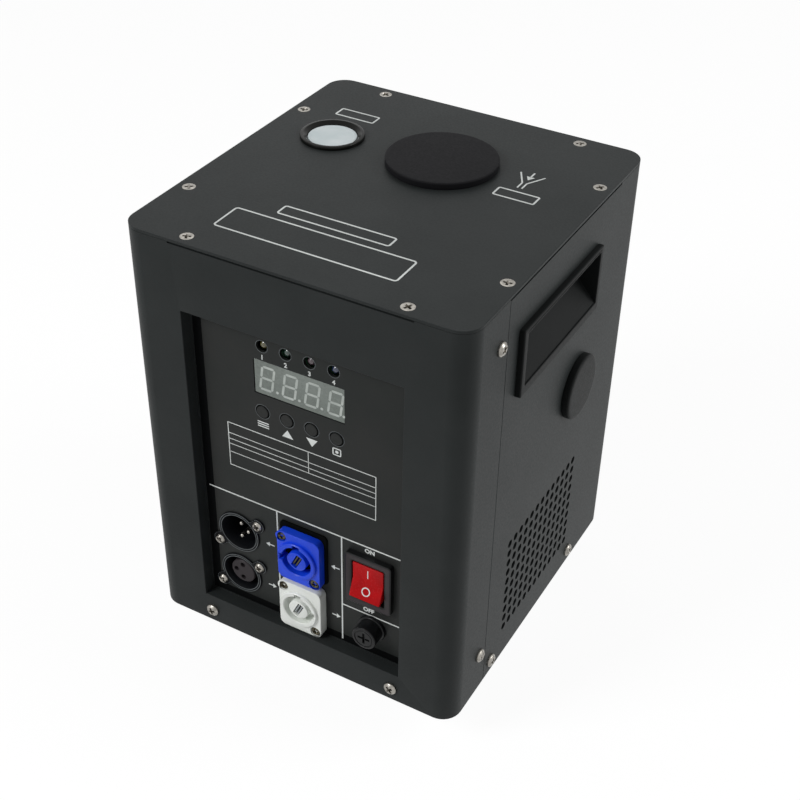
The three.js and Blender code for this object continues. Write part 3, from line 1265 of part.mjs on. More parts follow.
// The body that both signal connectors share, behind the panel
function signalBody(z) {
  const centre = [SIGNAL_X, z];
  const flangeY = [PANEL_BACK_Y + SEAT_GAP, PANEL_BACK_Y + SEAT_GAP + SIGNAL_FLANGE];
  const flange = block(about(SIGNAL_X, CONNECTOR_LONG), flangeY, about(z, CONNECTOR_SHORT));
  const barrel = rod('y', [PANEL_Y, flangeY[1]], centre, SIGNAL_BARREL_RADIUS, SIDES_LARGE);
  const bodyY = [flangeY[0], PANEL_Y + SIGNAL_BODY_DEPTH];
  const body = rod('y', bodyY, centre, SIGNAL_BODY_RADIUS, SIDES_LARGE);
  const reach = PANEL_BACK_Y - PANEL_Y + SEAT_GAP * 2 + SIGNAL_FLANGE;
  const screws = signalScrews(z).map((place) => fixingScrew(place, PANEL_Y - SEAT_GAP, reach));
  return join(flange, barrel, body, ...screws);
}

// Three contacts on a circle, at angles in degrees
function contactPlaces(z, degrees) {
  return degrees.map((degree) => {
    const angle = THREE.MathUtils.degToRad(degree);
    return [SIGNAL_X + CONTACT_CIRCLE * Math.cos(angle), z + CONTACT_CIRCLE * Math.sin(angle)];
  });
}

// Signal inlet: three pins in an open barrel
function signalInlet() {
  const floor = PANEL_Y + SIGNAL_CAVITY_DEPTH;
  const cavityY = [PANEL_Y - OVERRUN, floor];
  const cavity = rod('y', cavityY, [SIGNAL_X, SIGNAL_IN_Z], SIGNAL_CAVITY_RADIUS, SIDES_LARGE);
  const pins = contactPlaces(SIGNAL_IN_Z, INLET_CONTACT_DEGREES).map((place) => {
    return rod('y', [floor - CONTACT_LENGTH, floor + WELD], place, CONTACT_RADIUS, SIDES_SCREW);
  });
  return join(cut(signalBody(SIGNAL_IN_Z), cavity), ...pins);
}

// Signal outlet: a round insert with three contact holes inside the barrel
function signalOutlet() {
  const centre = [SIGNAL_X, SIGNAL_OUT_Z];
  const floor = PANEL_Y + SIGNAL_CAVITY_DEPTH;
  const face = PANEL_Y + SIGNAL_INSERT_INSET;
  const cavity = rod('y', [PANEL_Y - OVERRUN, floor], centre, SIGNAL_CAVITY_RADIUS, SIDES_LARGE);
  const insert = rod('y', [face, floor + WELD], centre, SIGNAL_INSERT_RADIUS, SIDES_MEDIUM);
  const sockets = contactPlaces(SIGNAL_OUT_Z, OUTLET_CONTACT_DEGREES).map((place) => {
    return rod('y', [face - OVERRUN, face + CONTACT_SOCKET_DEPTH], place, CONTACT_RADIUS, SIDES_SCREW);
  });
  return cut(join(cut(signalBody(SIGNAL_OUT_Z), cavity), insert), ...sockets);
}

// Power connector: a flange on the panel's face, a raised boss and a deep ring groove
function powerConnector(z, keyAngles) {
  const centre = [POWER_X, z];
  const face = PANEL_Y - POWER_PROUD;
  const outline = roundedRectangle(centre, CONNECTOR_SHORT, CONNECTOR_LONG, CONNECTOR_CORNER);
  const flange = prism('y', outline, [face, PANEL_Y - SEAT_GAP]);
  const boss = rod('y', [face - POWER_BOSS_PROUD, face + WELD], centre, POWER_BOSS_RADIUS, SIDES_LARGE);
  const barrel = rod('y', [face, PANEL_Y + POWER_BARREL_DEPTH], centre, POWER_BARREL_RADIUS, SIDES_LARGE);
  const grooveY = [face - POWER_BOSS_PROUD - OVERRUN, face + POWER_GROOVE_DEPTH];
  const outer = rod('y', grooveY, centre, POWER_GROOVE_OUTER, SIDES_LARGE);
  const coreY = [grooveY[0] - OVERRUN, grooveY[1] + OVERRUN];
  const core = rod('y', coreY, centre, POWER_GROOVE_INNER, SIDES_MEDIUM);
  const keys = keyAngles.map((angle) => keyway(centre, angle, grooveY));
  const slotX = about(POWER_X, POWER_SLOT_WIDTH);
  const slot = block(slotX, grooveY, about(z, POWER_SLOT_LENGTH));
  const recessY = [face - OVERRUN, face + POWER_SCREW_RECESS];
  const recesses = powerScrews(z).map((place) => {
    return rod('y', recessY, place, CONNECTOR_HEAD_RADIUS + FIT_GAP, SIDES_SCREW);
  });
  const reach = PANEL_BACK_Y - face + SHEET;
  const seat = face + POWER_SCREW_RECESS + WELD;
  const screws = powerScrews(z).map((place) => fixingScrew(place, seat, reach));
  const bare = cut(join(flange, boss, barrel), cut(outer, core), ...keys, slot, ...recesses);
  return join(bare, ...screws);
}

// A key slot cut outwards from the ring groove at an angle
function keyway([x, z], angle, ys) {
  const depth = ys[1] - ys[0];
  const key = new THREE.BoxGeometry(POWER_KEY_REACH - POWER_GROOVE_INNER, depth, POWER_KEY_WIDTH);
  key.translate((POWER_KEY_REACH + POWER_GROOVE_INNER) / 2, (ys[0] + ys[1]) / 2, 0);
  key.rotateY(-angle).translate(x, 0, z);
  return solidOf(key);
}

// Rocker switch: a framed housing and the rocker that tips in it
const ROCKER_PIVOT_Y = PANEL_Y - SWITCH_PROUD + ROCKER_PIVOT_DEPTH;
const ROCKER_MOUTH_WIDTH = ROCKER_WIDTH + ROCKER_GAP * 2;
const ROCKER_MOUTH_HEIGHT = (ROCKER_HALF_HEIGHT + ROCKER_END_GAP) * 2;

function switchHousing() {
  const face = PANEL_Y - SWITCH_PROUD;
  const outline = roundedRectangle([SWITCH_X, SWITCH_Z], SWITCH_WIDTH, SWITCH_HEIGHT, SWITCH_CORNER);
  const bezel = prism('y', outline, [face, PANEL_Y - SEAT_GAP]);
  const bodyY = [face + WELD, PANEL_Y + SWITCH_BODY_DEPTH];
  const body = block(about(SWITCH_X, SWITCH_BODY_WIDTH), bodyY, about(SWITCH_Z, SWITCH_BODY_HEIGHT));
  const mouthY = [face - OVERRUN, bodyY[1] - SWITCH_FLOOR];
  const mouth = block(about(SWITCH_X, ROCKER_MOUTH_WIDTH), mouthY, about(SWITCH_Z, ROCKER_MOUTH_HEIGHT));
  const pinReach = ROCKER_WIDTH + TRUNNION_LENGTH * 2 + ROCKER_GAP;
  const pivot = [ROCKER_PIVOT_Y, SWITCH_Z];
  const pins = rod('x', about(SWITCH_X, pinReach), pivot, TRUNNION_RADIUS + FIT_GAP, SIDES_SMALL);
  return cut(join(bezel, body), mouth, pins);
}

// A point of the rocker's section, turned about its pivot: [y, z]
function aboutPivot([y, z], angle) {
  const [cos, sin] = [Math.cos(angle), Math.sin(angle)];
  return [ROCKER_PIVOT_Y + y * cos - z * sin, SWITCH_Z + y * sin + z * cos];
}

// The rocker at rest: its upper half is pressed level with the frame, its lower half stands out
function rocker() {
  const front = -(ROCKER_PIVOT_DEPTH - ROCKER_FACE_INSET);
  const half = ROCKER_THROW / 2;
  const corner = [
    front * Math.cos(half) - ROCKER_HALF_HEIGHT * Math.sin(half),
    front * Math.sin(half) + ROCKER_HALF_HEIGHT * Math.cos(half),
  ];
  const middle = [front / Math.cos(half), 0];
  const section = [
    [ROCKER_DEPTH, -ROCKER_HALF_HEIGHT / 2],
    [corner[0], -corner[1]],
    middle,
    corner,
    [ROCKER_DEPTH, ROCKER_HALF_HEIGHT / 2],
  ].map((point) => aboutPivot(point, -half));
  const body = prism('x', polygon(section), about(SWITCH_X, ROCKER_WIDTH));
  const pinReach = ROCKER_WIDTH + TRUNNION_LENGTH * 2;
  const pins = rod('x', about(SWITCH_X, pinReach), [ROCKER_PIVOT_Y, SWITCH_Z], TRUNNION_RADIUS, SIDES_SMALL);
  return join(body, pins);
}

// Fuse holder: flange and barrel through the panel, with its nut, open at the front
function fuseHolder() {
  const centre = [FUSE_X, FUSE_Z];
  const face = PANEL_Y - SEAT_GAP - FUSE_FLANGE;
  const flange = rod('y', [face, PANEL_Y - SEAT_GAP], centre, FUSE_FLANGE_RADIUS, SIDES_MEDIUM);
  const barrel = rod('y', [face, PANEL_Y + FUSE_BODY_DEPTH], centre, FUSE_BARREL_RADIUS, SIDES_MEDIUM);
  const nutY = [PANEL_BACK_Y + SEAT_GAP, PANEL_BACK_Y + SEAT_GAP + FUSE_NUT];
  const nut = rod('y', nutY, centre, FUSE_NUT_RADIUS, SIDES_HEX);
  const boreY = [face - OVERRUN, PANEL_Y + FUSE_BODY_DEPTH - FUSE_NUT];
  const bore = rod('y', boreY, centre, FUSE_BORE, SIDES_MEDIUM);
  return cut(join(flange, barrel, nut), bore);
}

// The cap that a hand turns, with a slot for a driver
const FUSE_CAP_BACK_Y = PANEL_Y - SEAT_GAP * 2 - FUSE_FLANGE;

function fuseCap() {
  const centre = [FUSE_X, FUSE_Z];
  const front = FUSE_CAP_BACK_Y - FUSE_CAP_LENGTH;
  const body = rod('y', [front, FUSE_CAP_BACK_Y], centre, FUSE_CAP_RADIUS, SIDES_MEDIUM);
  const slotY = [front - OVERRUN, front + FUSE_SLOT_DEPTH];
  const across = block(about(FUSE_X, FUSE_SLOT_LENGTH), slotY, about(FUSE_Z, FUSE_SLOT_WIDTH));
  const upright = block(about(FUSE_X, FUSE_SLOT_WIDTH), slotY, about(FUSE_Z, FUSE_SLOT_LENGTH));
  return cut(body, across, upright);
}

// The stem and the glass fuse that come out with the cap
function fuseCarrier() {
  const centre = [FUSE_X, FUSE_Z];
  const start = FUSE_CAP_BACK_Y + SEAT_GAP;
  const stem = rod('y', [start, start + FUSE_STEM_LENGTH], centre, FUSE_STEM_RADIUS, SIDES_SMALL);
  const tube = rod('y', [start, start + FUSE_LENGTH], centre, FUSE_RADIUS, SIDES_SMALL);
  return join(stem, tube);
}

function addCabinet() {
  piece('base_pan', basePan(), zincSteel());
  piece('front_shell', frontShell(), powderCoat());
  piece('rear_shell', rearShell(), powderCoat());
  piece('top_plate', topPlate(), powderCoat());
  piece('control_panel', controlPanel(), panelCoat());
  footPlaces().forEach(([name, x, y]) => piece(name, foot(x, y), rubber(), machine));
  TOP_SCREW_PLACES.forEach((place, i) => piece(`top_plate_screw_${i + 1}`, flatScrew(place), nickel()));
  piece('handle_right', handle(1), blackPlastic());
  piece('handle_left', handle(-1), blackPlastic());
  piece('side_plug', sidePlug(), blackPlastic());
}

// Pan-head screws share one form, turned to face the side that they stand on
function addCaseScrews() {
  const screw = panScrew();
  SIDE_SCREW_PLACES.forEach(([name, y, z]) => {
    const mesh = piece(`side_screw_${name}`, screw, nickel());
    mesh.rotation.y = Math.PI / 2;
    mesh.position.set(SIDE_X + SEAT_GAP, y, z);
  });
  [['left', -FRONT_SCREW_X], ['right', FRONT_SCREW_X]].forEach(([name, x]) => {
    const mesh = piece(`front_screw_${name}`, screw, nickel());
    mesh.rotation.x = Math.PI / 2;
    mesh.position.set(x, FRONT_Y - SEAT_GAP, CASE_SCREW_Z);
  });
}

function addSparkPath() {
  piece('hopper_cap', hopperCap(), blackPlastic());
  piece('hopper', hopper(), naturalPlastic());
  piece('feed_tube', feedTube(), satinAluminium());
  piece('feed_screw', feedAuger(), scaledSteel());
  piece('gear_motor', gearMotor(), zincSteel());
  piece('spark_nozzle', sparkNozzle(), greyPlastic());
  piece('outlet_disc', outletDisc(), satinAluminium());
  piece('heating_chamber', heatingChamber(), scaledSteel());
  piece('ceramic_sleeve', ceramicSleeve(), ceramic());
  piece('induction_coil', inductionCoil(), copper());
  piece('blower_housing', blowerHousing(), blackPlastic());
  piece('blower_rotor', blowerRotor(), greyPlastic());
}

function addElectrics() {
  piece('fan_frame', fanFrame(), blackPlastic());
  piece('fan_rotor', fanRotor(), greyPlastic());
  piece('power_board', powerBoard(), boardLaminate());
  piece('display_board', displayBoard(), boardLaminate());
  piece('display_module', displayModule(), displayPlastic());
  lampPlaces().forEach(([colour, x]) => piece(`lamp_${colour}`, lamp(x), lampPlastic[colour]()));
  buttonPlaces().forEach(([name, x]) => piece(`button_${name}`, button(x), greyPlastic()));
}

function addConnectors() {
  piece('signal_inlet', signalInlet(), greyPlastic());
  piece('signal_outlet', signalOutlet(), greyPlastic());
  piece('power_inlet', powerConnector(POWER_IN_Z, [Math.PI / 2, Math.PI]), bluePlastic());
  piece('power_outlet', powerConnector(POWER_OUT_Z, [Math.PI / 2, 0]), whitePlastic());
  piece('switch_housing', switchHousing(), greyPlastic());
  piece('power_rocker', rocker(), redPlastic());
  piece('fuse_holder', fuseHolder(), blackPlastic());
  piece('fuse_cap', fuseCap(), blackPlastic());
  piece('fuse', fuseCarrier(), glass());
}

addCabinet();
addCaseScrews();
addSparkPath();
addElectrics();
addConnectors();

export default machine;
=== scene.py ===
"""Looks of a cold spark machine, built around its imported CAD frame.

Sizes in the code are millimetres and the meshes are metres. Each flat face of the cabinet has its
own right, up and outward directions. Pieces are drawn on such a face and then placed in the
machine's frame: front -Y, round plug +X, up +Z. Heights on an upright face start at the cabinet's
lower edge, which the rubber feet hold above the floor.
"""

import logging
import math
from dataclasses import dataclass
from enum import Enum
from typing import Callable, Dict, List, Optional, Sequence, Tuple, Union

import bpy
import numpy as np
from mathutils import Matrix, Vector
from mathutils.geometry import delaunay_2d_cdt


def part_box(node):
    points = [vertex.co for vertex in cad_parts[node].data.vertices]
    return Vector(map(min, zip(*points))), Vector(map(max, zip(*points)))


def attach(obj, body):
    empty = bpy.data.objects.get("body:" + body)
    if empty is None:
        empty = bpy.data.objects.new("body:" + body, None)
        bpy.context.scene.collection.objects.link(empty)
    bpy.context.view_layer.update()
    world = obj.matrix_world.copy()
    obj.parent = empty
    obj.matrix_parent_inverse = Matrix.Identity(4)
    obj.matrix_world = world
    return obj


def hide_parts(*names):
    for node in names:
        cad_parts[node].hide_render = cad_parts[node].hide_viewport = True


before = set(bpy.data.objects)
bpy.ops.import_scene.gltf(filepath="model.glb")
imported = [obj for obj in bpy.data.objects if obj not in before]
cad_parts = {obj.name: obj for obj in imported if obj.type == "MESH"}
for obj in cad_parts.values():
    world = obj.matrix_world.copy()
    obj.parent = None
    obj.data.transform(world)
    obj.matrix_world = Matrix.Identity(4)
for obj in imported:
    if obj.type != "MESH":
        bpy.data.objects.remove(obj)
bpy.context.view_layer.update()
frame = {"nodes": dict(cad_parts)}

log = logging.getLogger("cold_spark_machine")

MM = 0.001
BODY_FLOOR = 22.0
HALF_WIDTH = 90.0
HALF_DEPTH = 95.0
BODY_HEIGHT = 234.5
PANEL_FRONT = -87.4
SEAT = 0.1  # Lift of a part that lies on a face, so that the two don't share a plane
PLAY = 0.3  # Gap between the edge of a hole in the panel and the part that passes it
WELD_DIGITS = 4
TINY = 1e-6
QUARTER = np.pi / 2

Triple = Tuple[float, float, float]
Pair = Tuple[float, float]
Pairs = Sequence[Pair]
Profile = Union[np.ndarray, Pairs]
Radii = Union[float, Sequence[float]]
Loops = Sequence[np.ndarray]


# ---------------------------------------------------------------- faces that pieces are drawn on


@dataclass(frozen=True)
class Side:
    """A flat face: an origin, the direction to its right and the direction up it."""

    origin: Triple
    right: Triple
    up: Triple

    def place(self, local: np.ndarray) -> np.ndarray:
        """Turns points on the face into machine points.

        A machine point is the origin plus right, up and outward, each times the local number.
        Outward is the cross product of right and up.

        Args:
            local: Points as right, up and outward distances in mm.

        Returns:
            The same points in the machine's frame, in mm.
        """
        axes = np.array([self.right, self.up, np.cross(self.right, self.up)], dtype=float)
        return np.asarray(local, dtype=float) @ axes + np.array(self.origin, dtype=float)

    def at(self, right: float, up: float, out: float = 0.0) -> "Side":
        """The same face with its origin moved to a place on it."""
        return Side(tuple(self.place(np.array([right, up, out]))), self.right, self.up)


class Face(Enum):
    """The flat faces of the cabinet."""

    PANEL = Side((0.0, PANEL_FRONT, BODY_FLOOR), (1.0, 0.0, 0.0), (0.0, 0.0, 1.0))
    FRONT = Side((0.0, -HALF_DEPTH, BODY_FLOOR), (1.0, 0.0, 0.0), (0.0, 0.0, 1.0))
    RIGHT = Side((HALF_WIDTH, 0.0, BODY_FLOOR), (0.0, 1.0, 0.0), (0.0, 0.0, 1.0))
    LEFT = Side((-HALF_WIDTH, 0.0, BODY_FLOOR), (0.0, -1.0, 0.0), (0.0, 0.0, 1.0))
    TOP = Side((0.0, 0.0, BODY_HEIGHT + BODY_FLOOR), (1.0, 0.0, 0.0), (0.0, 1.0, 0.0))
    FLOOR = Side((0.0, 0.0, 0.0), (1.0, 0.0, 0.0), (0.0, 1.0, 0.0))

    def at(self, right: float = 0.0, up: float = 0.0, out: float = 0.0) -> Side:
        """The face with its origin moved to a place on it."""
        return self.value.at(right, up, out)


class Slot(Enum):
    """Material slots of the record."""

    POWDER_COAT = "powder_coat"
    PANEL_COAT = "panel_coat"
    NICKEL = "nickel_plate"
    ALUMINIUM = "satin_aluminium"
    RUBBER = "foot_rubber"
    BLACK_PLASTIC = "black_plastic"
    GREY_PLASTIC = "grey_plastic"
    BLUE_PLASTIC = "blue_plastic"
    WHITE_PLASTIC = "white_plastic"
    RED_PLASTIC = "red_plastic"
    DISPLAY = "display_face"
    LAMP_YELLOW = "lamp_yellow"
    LAMP_GREEN = "lamp_green"
    LAMP_RED = "lamp_red"
    LAMP_BLUE = "lamp_blue"


# ---------------------------------------------------------------- outlines, rings and meshes


def soften(path: Profile, radius: Radii, steps: int = 4) -> np.ndarray:
    """Rounds the inner corners of a path.

    Each corner becomes a quadratic curve (1-t)^2 A + 2t(1-t) C + t^2 B, where C is the corner and
    A and B lie on its two edges at the radius, or at half the edge where that is shorter.

    Args:
        path: Points of the path.
        radius: One radius, or one for each inner corner. Zero keeps a corner sharp.
        steps: Pieces in each curve.

    Returns:
        The rounded path, without repeated points.
    """
    points = np.asarray(path, dtype=float)
    corner = points[1:-1]
    back, onward = points[:-2] - corner, points[2:] - corner
    back_length = np.linalg.norm(back, axis=1, keepdims=True)
    onward_length = np.linalg.norm(onward, axis=1, keepdims=True)
    wanted = np.broadcast_to(np.asarray(radius, dtype=float), (len(corner),))[:, None]
    reach = np.minimum(wanted, 0.5 * np.minimum(back_length, onward_length))
    first = (corner + back / back_length * reach)[:, None]
    last = (corner + onward / onward_length * reach)[:, None]
    t = np.linspace(0.0, 1.0, steps + 1)[None, :, None]
    curve = (1 - t) ** 2 * first + 2 * t * (1 - t) * corner[:, None] + t**2 * last
    whole = np.concatenate([points[:1], curve.reshape(-1, 2), points[-1:]])
    moved = np.linalg.norm(np.diff(whole, axis=0), axis=1) > TINY
    return whole[np.concatenate([[True], moved])]


def around(sides: int) -> np.ndarray:
    """Equal angles round a circle, counter-clockwise."""
    return np.linspace(0.0, 2 * np.pi, sides, endpoint=False)


def turned(radii: Sequence, heights: Sequence[float], angles: np.ndarray) -> np.ndarray:
    """Rings round an axis: radius times cosine and sine of the angle, at a height.

    Args:
        radii: One radius for each ring, or an array of one for each angle.
        heights: Height of each ring.
        angles: Angles of the points, counter-clockwise.

    Returns:
        Rings of points as an array of rings, points and three coordinates.
    """
    reach = np.array([np.broadcast_to(radius, angles.shape) for radius in radii])
    level = np.broadcast_to(np.asarray(heights, dtype=float)[:, None], reach.shape)
    return np.stack([reach * np.cos(angles), reach * np.sin(angles), level], axis=-1)


def revolved(profile: Profile, sides: int = 48) -> np.ndarray:
    """Rings of a profile of radius and height turned round its axis."""
    path = np.asarray(profile, dtype=float)
    return turned(path[:, 0], path[:, 1], around(sides))


def framed(
    width: float, height: float, radius: float, profile: Profile, steps: int = 5
) -> np.ndarray:
    """Rings with the outline of a rounded rectangle.

    Every ring is the rectangle moved inwards by its inset: each corner's middle plus the remaining
    corner radius times the direction of the angle, counter-clockwise from the right.

    Args:
        width: Width of the outline with no inset.
        height: Height of the outline with no inset.
        radius: Corner radius with no inset.
        profile: Inset and height of each ring.
        steps: Pieces in each corner.

    Returns:
        Rings of points as an array of rings, points and three coordinates.
    """
    path = np.asarray(profile, dtype=float)
    inset, level = path[:, :1], path[:, 1:]
    angles = (np.linspace(0.0, QUARTER, steps + 1)[None] + np.arange(4)[:, None] * QUARTER).ravel()
    sign_x = np.repeat([1.0, -1.0, -1.0, 1.0], steps + 1)
    sign_y = np.repeat([1.0, 1.0, -1.0, -1.0], steps + 1)
    corner = np.maximum(radius - inset, 0.05)
    x = sign_x * (width / 2 - inset - corner) + corner * np.cos(angles)
    y = sign_y * (height / 2 - inset - corner) + corner * np.sin(angles)
    return np.stack([x, y, np.broadcast_to(level, x.shape)], axis=-1)


def rectangle(width: float, height: float) -> np.ndarray:
    """Four corners of a rectangle about its middle, counter-clockwise."""
    return np.array([[-1, -1], [1, -1], [1, 1], [-1, 1]]) * np.array([width, height]) / 2


def circle(radius: float, sides: int = 48) -> np.ndarray:
    """Points of a circle about its middle, counter-clockwise."""
    return revolved([(radius, 0.0)], sides)[0, :, :2]


def raised(flat: np.ndarray, height: float) -> np.ndarray:
    """Flat points given one height."""
    return np.column_stack([flat, np.full(len(flat), height)])


def nosed(radius: float, depth: float, tip: float, share: float, steps: int) -> np.ndarray:
    """Profile of a pin with a round nose: r = R cos a, height = tip - R + R sin a.

    Args:
        radius: Radius R of the pin.
        depth: Depth of its foot.
        tip: Height of its tip.
        share: Share of the quarter turn that the nose covers.
        steps: Points on the nose.

    Returns:
        Radius and height of each point, from the foot up.
    """
    turn = np.linspace(0.0, QUARTER * share, steps)
    nose = np.column_stack([radius * np.cos(turn), tip - radius + radius * np.sin(turn)])
    return np.concatenate([[(radius, -depth)], nose])


def inside(points: np.ndarray, outlines: Loops) -> np.ndarray:
    """Tells which points lie inside an odd number of closed outlines.

    A ray runs from each point to the right, and the edges that it crosses are counted.

    Args:
        points: Points to test.
        outlines: Closed outlines.

    Returns:
        True for each point that the outlines enclose.
    """
    start = np.concatenate(outlines)
    end = np.concatenate([np.roll(outline, -1, axis=0) for outline in outlines])
    x, y = points[:, :1], points[:, 1:]
    spans = (start[:, 1] > y) != (end[:, 1] > y)
    rise = np.where(end[:, 1] == start[:, 1], 1.0, end[:, 1] - start[:, 1])
    crossing = start[:, 0] + (y - start[:, 1]) * (end[:, 0] - start[:, 0]) / rise
    return (np.sum(spans & (x < crossing), axis=1) % 2).astype(bool)


def filled(outlines: Loops, lines: Loops = ()) -> Tuple[np.ndarray, np.ndarray]:
    """Triangles of a flat sheet between an outline and its holes.

    The sheet is a constrained Delaunay triangulation of all edges, from which the triangles
    outside the outline and inside the holes are left out.

    Args:
        outlines: The outer outline and the holes.
        lines: Pairs of points that the triangles' edges also follow.

    Returns:
        Flat points and counter-clockwise triangles.
    """
    loops = [*outlines, *lines]
    starts = np.cumsum([0] + [len(loop) for loop in loops])
    edges: List[Pair] = []
    for first, loop in zip(starts, loops):
        ring = first + np.arange(len(loop))
        pairs = np.stack([ring, np.roll(ring, -1)], axis=1)
        edges += pairs[: len(loop) - (len(loop) == 2)].tolist()
    made = delaunay_2d_cdt(np.concatenate(loops).tolist(), edges, [], 0, TINY)
    points = np.array([tuple(point) for point in made[0]])
    faces = np.array([face for face in made[2] if len(face) == 3])
    corners = points[faces]
    first, second = corners[:, 1] - corners[:, 0], corners[:, 2] - corners[:, 0]
    area = first[:, 0] * second[:, 1] - first[:, 1] * second[:, 0]
    faces = np.where((area > 0)[:, None], faces, faces[:, ::-1])
    middles = corners.mean(axis=1)
    blocks = np.array_split(middles, max(1, len(middles) // 800))
    kept = np.concatenate([inside(block, outlines) for block in blocks])
    return points, faces[kept & (np.abs(area) > 1e-9)]


def in_scene(name: str, data: bpy.types.ID) -> bpy.types.Object:
    """Makes an object of some data and puts it in the scene."""
    made = bpy.data.objects.new(name, data)
    bpy.context.scene.collection.objects.link(made)
    return made


class Shape:
    """Points and faces of one piece in the machine's frame, gathered from its surfaces."""

    def __init__(self, side: Side) -> None:
        """Starts an empty shape whose surfaces are drawn on the given face."""
        self.side = side
        self.points: List[np.ndarray] = []
        self.faces: List[np.ndarray] = []
        self.count = 0

    def take(self, points: np.ndarray, *faces: np.ndarray) -> None:
        """Adds machine points in mm, and faces numbered from the first of these points."""
        self.points.append(points.reshape(-1, 3))
        self.faces += [block + self.count for block in faces]
        self.count += points.reshape(-1, 3).shape[0]

    def loft(
        self,
        rings: np.ndarray,
        start: bool = True,
        end: bool = True,
        wrapped: bool = False,
        on: Optional[Side] = None,
    ) -> "Shape":
        """Adds a skin over rings that are counter-clockwise seen from outside the face.

        Neighbouring points of neighbouring rings make four-sided faces. They look away from the
        axis where the rings climb, outwards where they narrow, and to the axis where they sink.

        Args:
            rings: Local points as an array of rings, points and three coordinates.
            start: Closes the first ring.
            end: Closes the last ring.
            wrapped: Joins the last ring to the first.
            on: Face to draw on, when it isn't the shape's own.

        Returns:
            The shape itself.
        """
        count, sides, _ = rings.shape
        index = np.arange(count * sides).reshape(count, sides)
        lower = index if wrapped else index[:-1]
        upper = np.roll(index, -1, axis=0) if wrapped else index[1:]
        skin = np.stack([lower, np.roll(lower, -1, 1), np.roll(upper, -1, 1), upper], axis=-1)
        faces = [skin.reshape(-1, 4)]
        if start and not wrapped:
            faces.append(index[:1, ::-1])
        if end and not wrapped:
            faces.append(index[-1:])
        self.take((on or self.side).place(rings), *faces)
        return self

    def prism(self, outline: np.ndarray, low: float, high: float) -> "Shape":
        """Adds a counter-clockwise outline drawn up from one height to another."""
        return self.loft(np.array([raised(outline, low), raised(outline, high)]))

    def bar(self, low: Triple, high: Triple) -> "Shape":
        """Adds a plain bar of sheet between two local corners."""
        outline = rectangle(high[0] - low[0], high[1] - low[1])
        middle = np.array([low[0] + high[0], low[1] + high[1]]) / 2
        return self.prism(outline + middle, low[2], high[2])

    def deck(self, outlines: Loops, height: float) -> "Shape":
        """Adds a flat face with holes that looks outwards at a height."""
        flat, faces = filled(outlines)
        self.take(self.side.place(raised(flat, height)), faces)
        return self

    def sheet(
        self,
        outer: np.ndarray,
        inner: np.ndarray,
        faces: np.ndarray,
        bare: Optional[Callable[[np.ndarray], np.ndarray]] = None,
    ) -> "Shape":
        """Adds a sheet: an outer skin, an inner skin turned over, and a rim on every border.

        A border is a directed triangle edge whose reverse is in no other triangle.

        Args:
            outer: Machine points of the outer skin.
            inner: Machine points of the inner skin, in the same order.
            faces: Triangles of the outer skin.
            bare: Tells from the middles of border edges which of them get no rim.

        Returns:
            The shape itself.
        """
        total = len(outer)
        edges = np.concatenate([faces[:, [0, 1]], faces[:, [1, 2]], faces[:, [2, 0]]])
        key = edges[:, 0] * total + edges[:, 1]
        border = edges[~np.isin(key, edges[:, 1] * total + edges[:, 0])]
        if bare is not None:
            border = border[~bare(outer[border].mean(axis=1))]
        a, b = border[:, 0], border[:, 1]
        rim = np.stack([b, a, a + total, b + total], axis=1)
        self.take(np.concatenate([outer, inner]), faces, faces[:, ::-1] + total, rim)
        return self

    def slab(
        self,
        outlines: Loops,
        thickness: float,
        bare: Optional[Callable[[np.ndarray], np.ndarray]] = None,
    ) -> "Shape":
        """Adds a flat sheet with holes under the face, as sheet does."""
        flat, faces = filled(outlines)
        outer, inner = (self.side.place(raised(flat, height)) for height in (0.0, -thickness))
        return self.sheet(outer, inner, faces, bare)

    def mesh(self, name: str, crease: float = 32.0) -> bpy.types.Object:
        """Makes the object: joins points that meet and marks edges over the crease angle sharp.

        Args:
            name: Name of the piece.
            crease: Angle in degrees.

        Returns:
            The new object at the origin.
        """
        points = np.concatenate(self.points)
        rounded = np.round(points, WELD_DIGITS)
        _, first, index = np.unique(rounded, axis=0, return_index=True, return_inverse=True)
        index = index.ravel()
        faces = [face for block in self.faces for face in index[block].tolist()]
        made = bpy.data.meshes.new(name)
        made.from_pydata((points[first] * MM).tolist(), [], faces)
        made.validate()
        made.polygons.foreach_set("use_smooth", np.ones(len(made.polygons), dtype=bool))
        made.set_sharp_from_angle(angle=math.radians(crease))
        return in_scene(name, made)

    def piece(
        self,
        name: str,
        finish: "Finish",
        slot: Slot,
        body: str = "cabinet",
        replaces: Sequence[str] = (),
    ) -> bpy.types.Object:
        """Makes the object under a name and dresses it, as dress does."""
        return dress(self.mesh(name), finish, slot, body, replaces)


def lathe(on: Side, path: Profile, radius: Radii, sides: int) -> Shape:
    """A shape of one softened profile of radius and height, turned round its axis."""
    return Shape(on).loft(revolved(soften(path, radius), sides))


def soft_edges(piece: bpy.types.Object, width: float, segments: int = 2) -> bpy.types.Object:
    """Adds a small bevel of a width in mm along the piece's sharp edges."""
    bevel = piece.modifiers.new("edges", "BEVEL")
    bevel.width, bevel.segments = width * MM, segments
    bevel.limit_method, bevel.angle_limit = "ANGLE", math.radians(35.0)
    bevel.harden_normals = True
    return piece


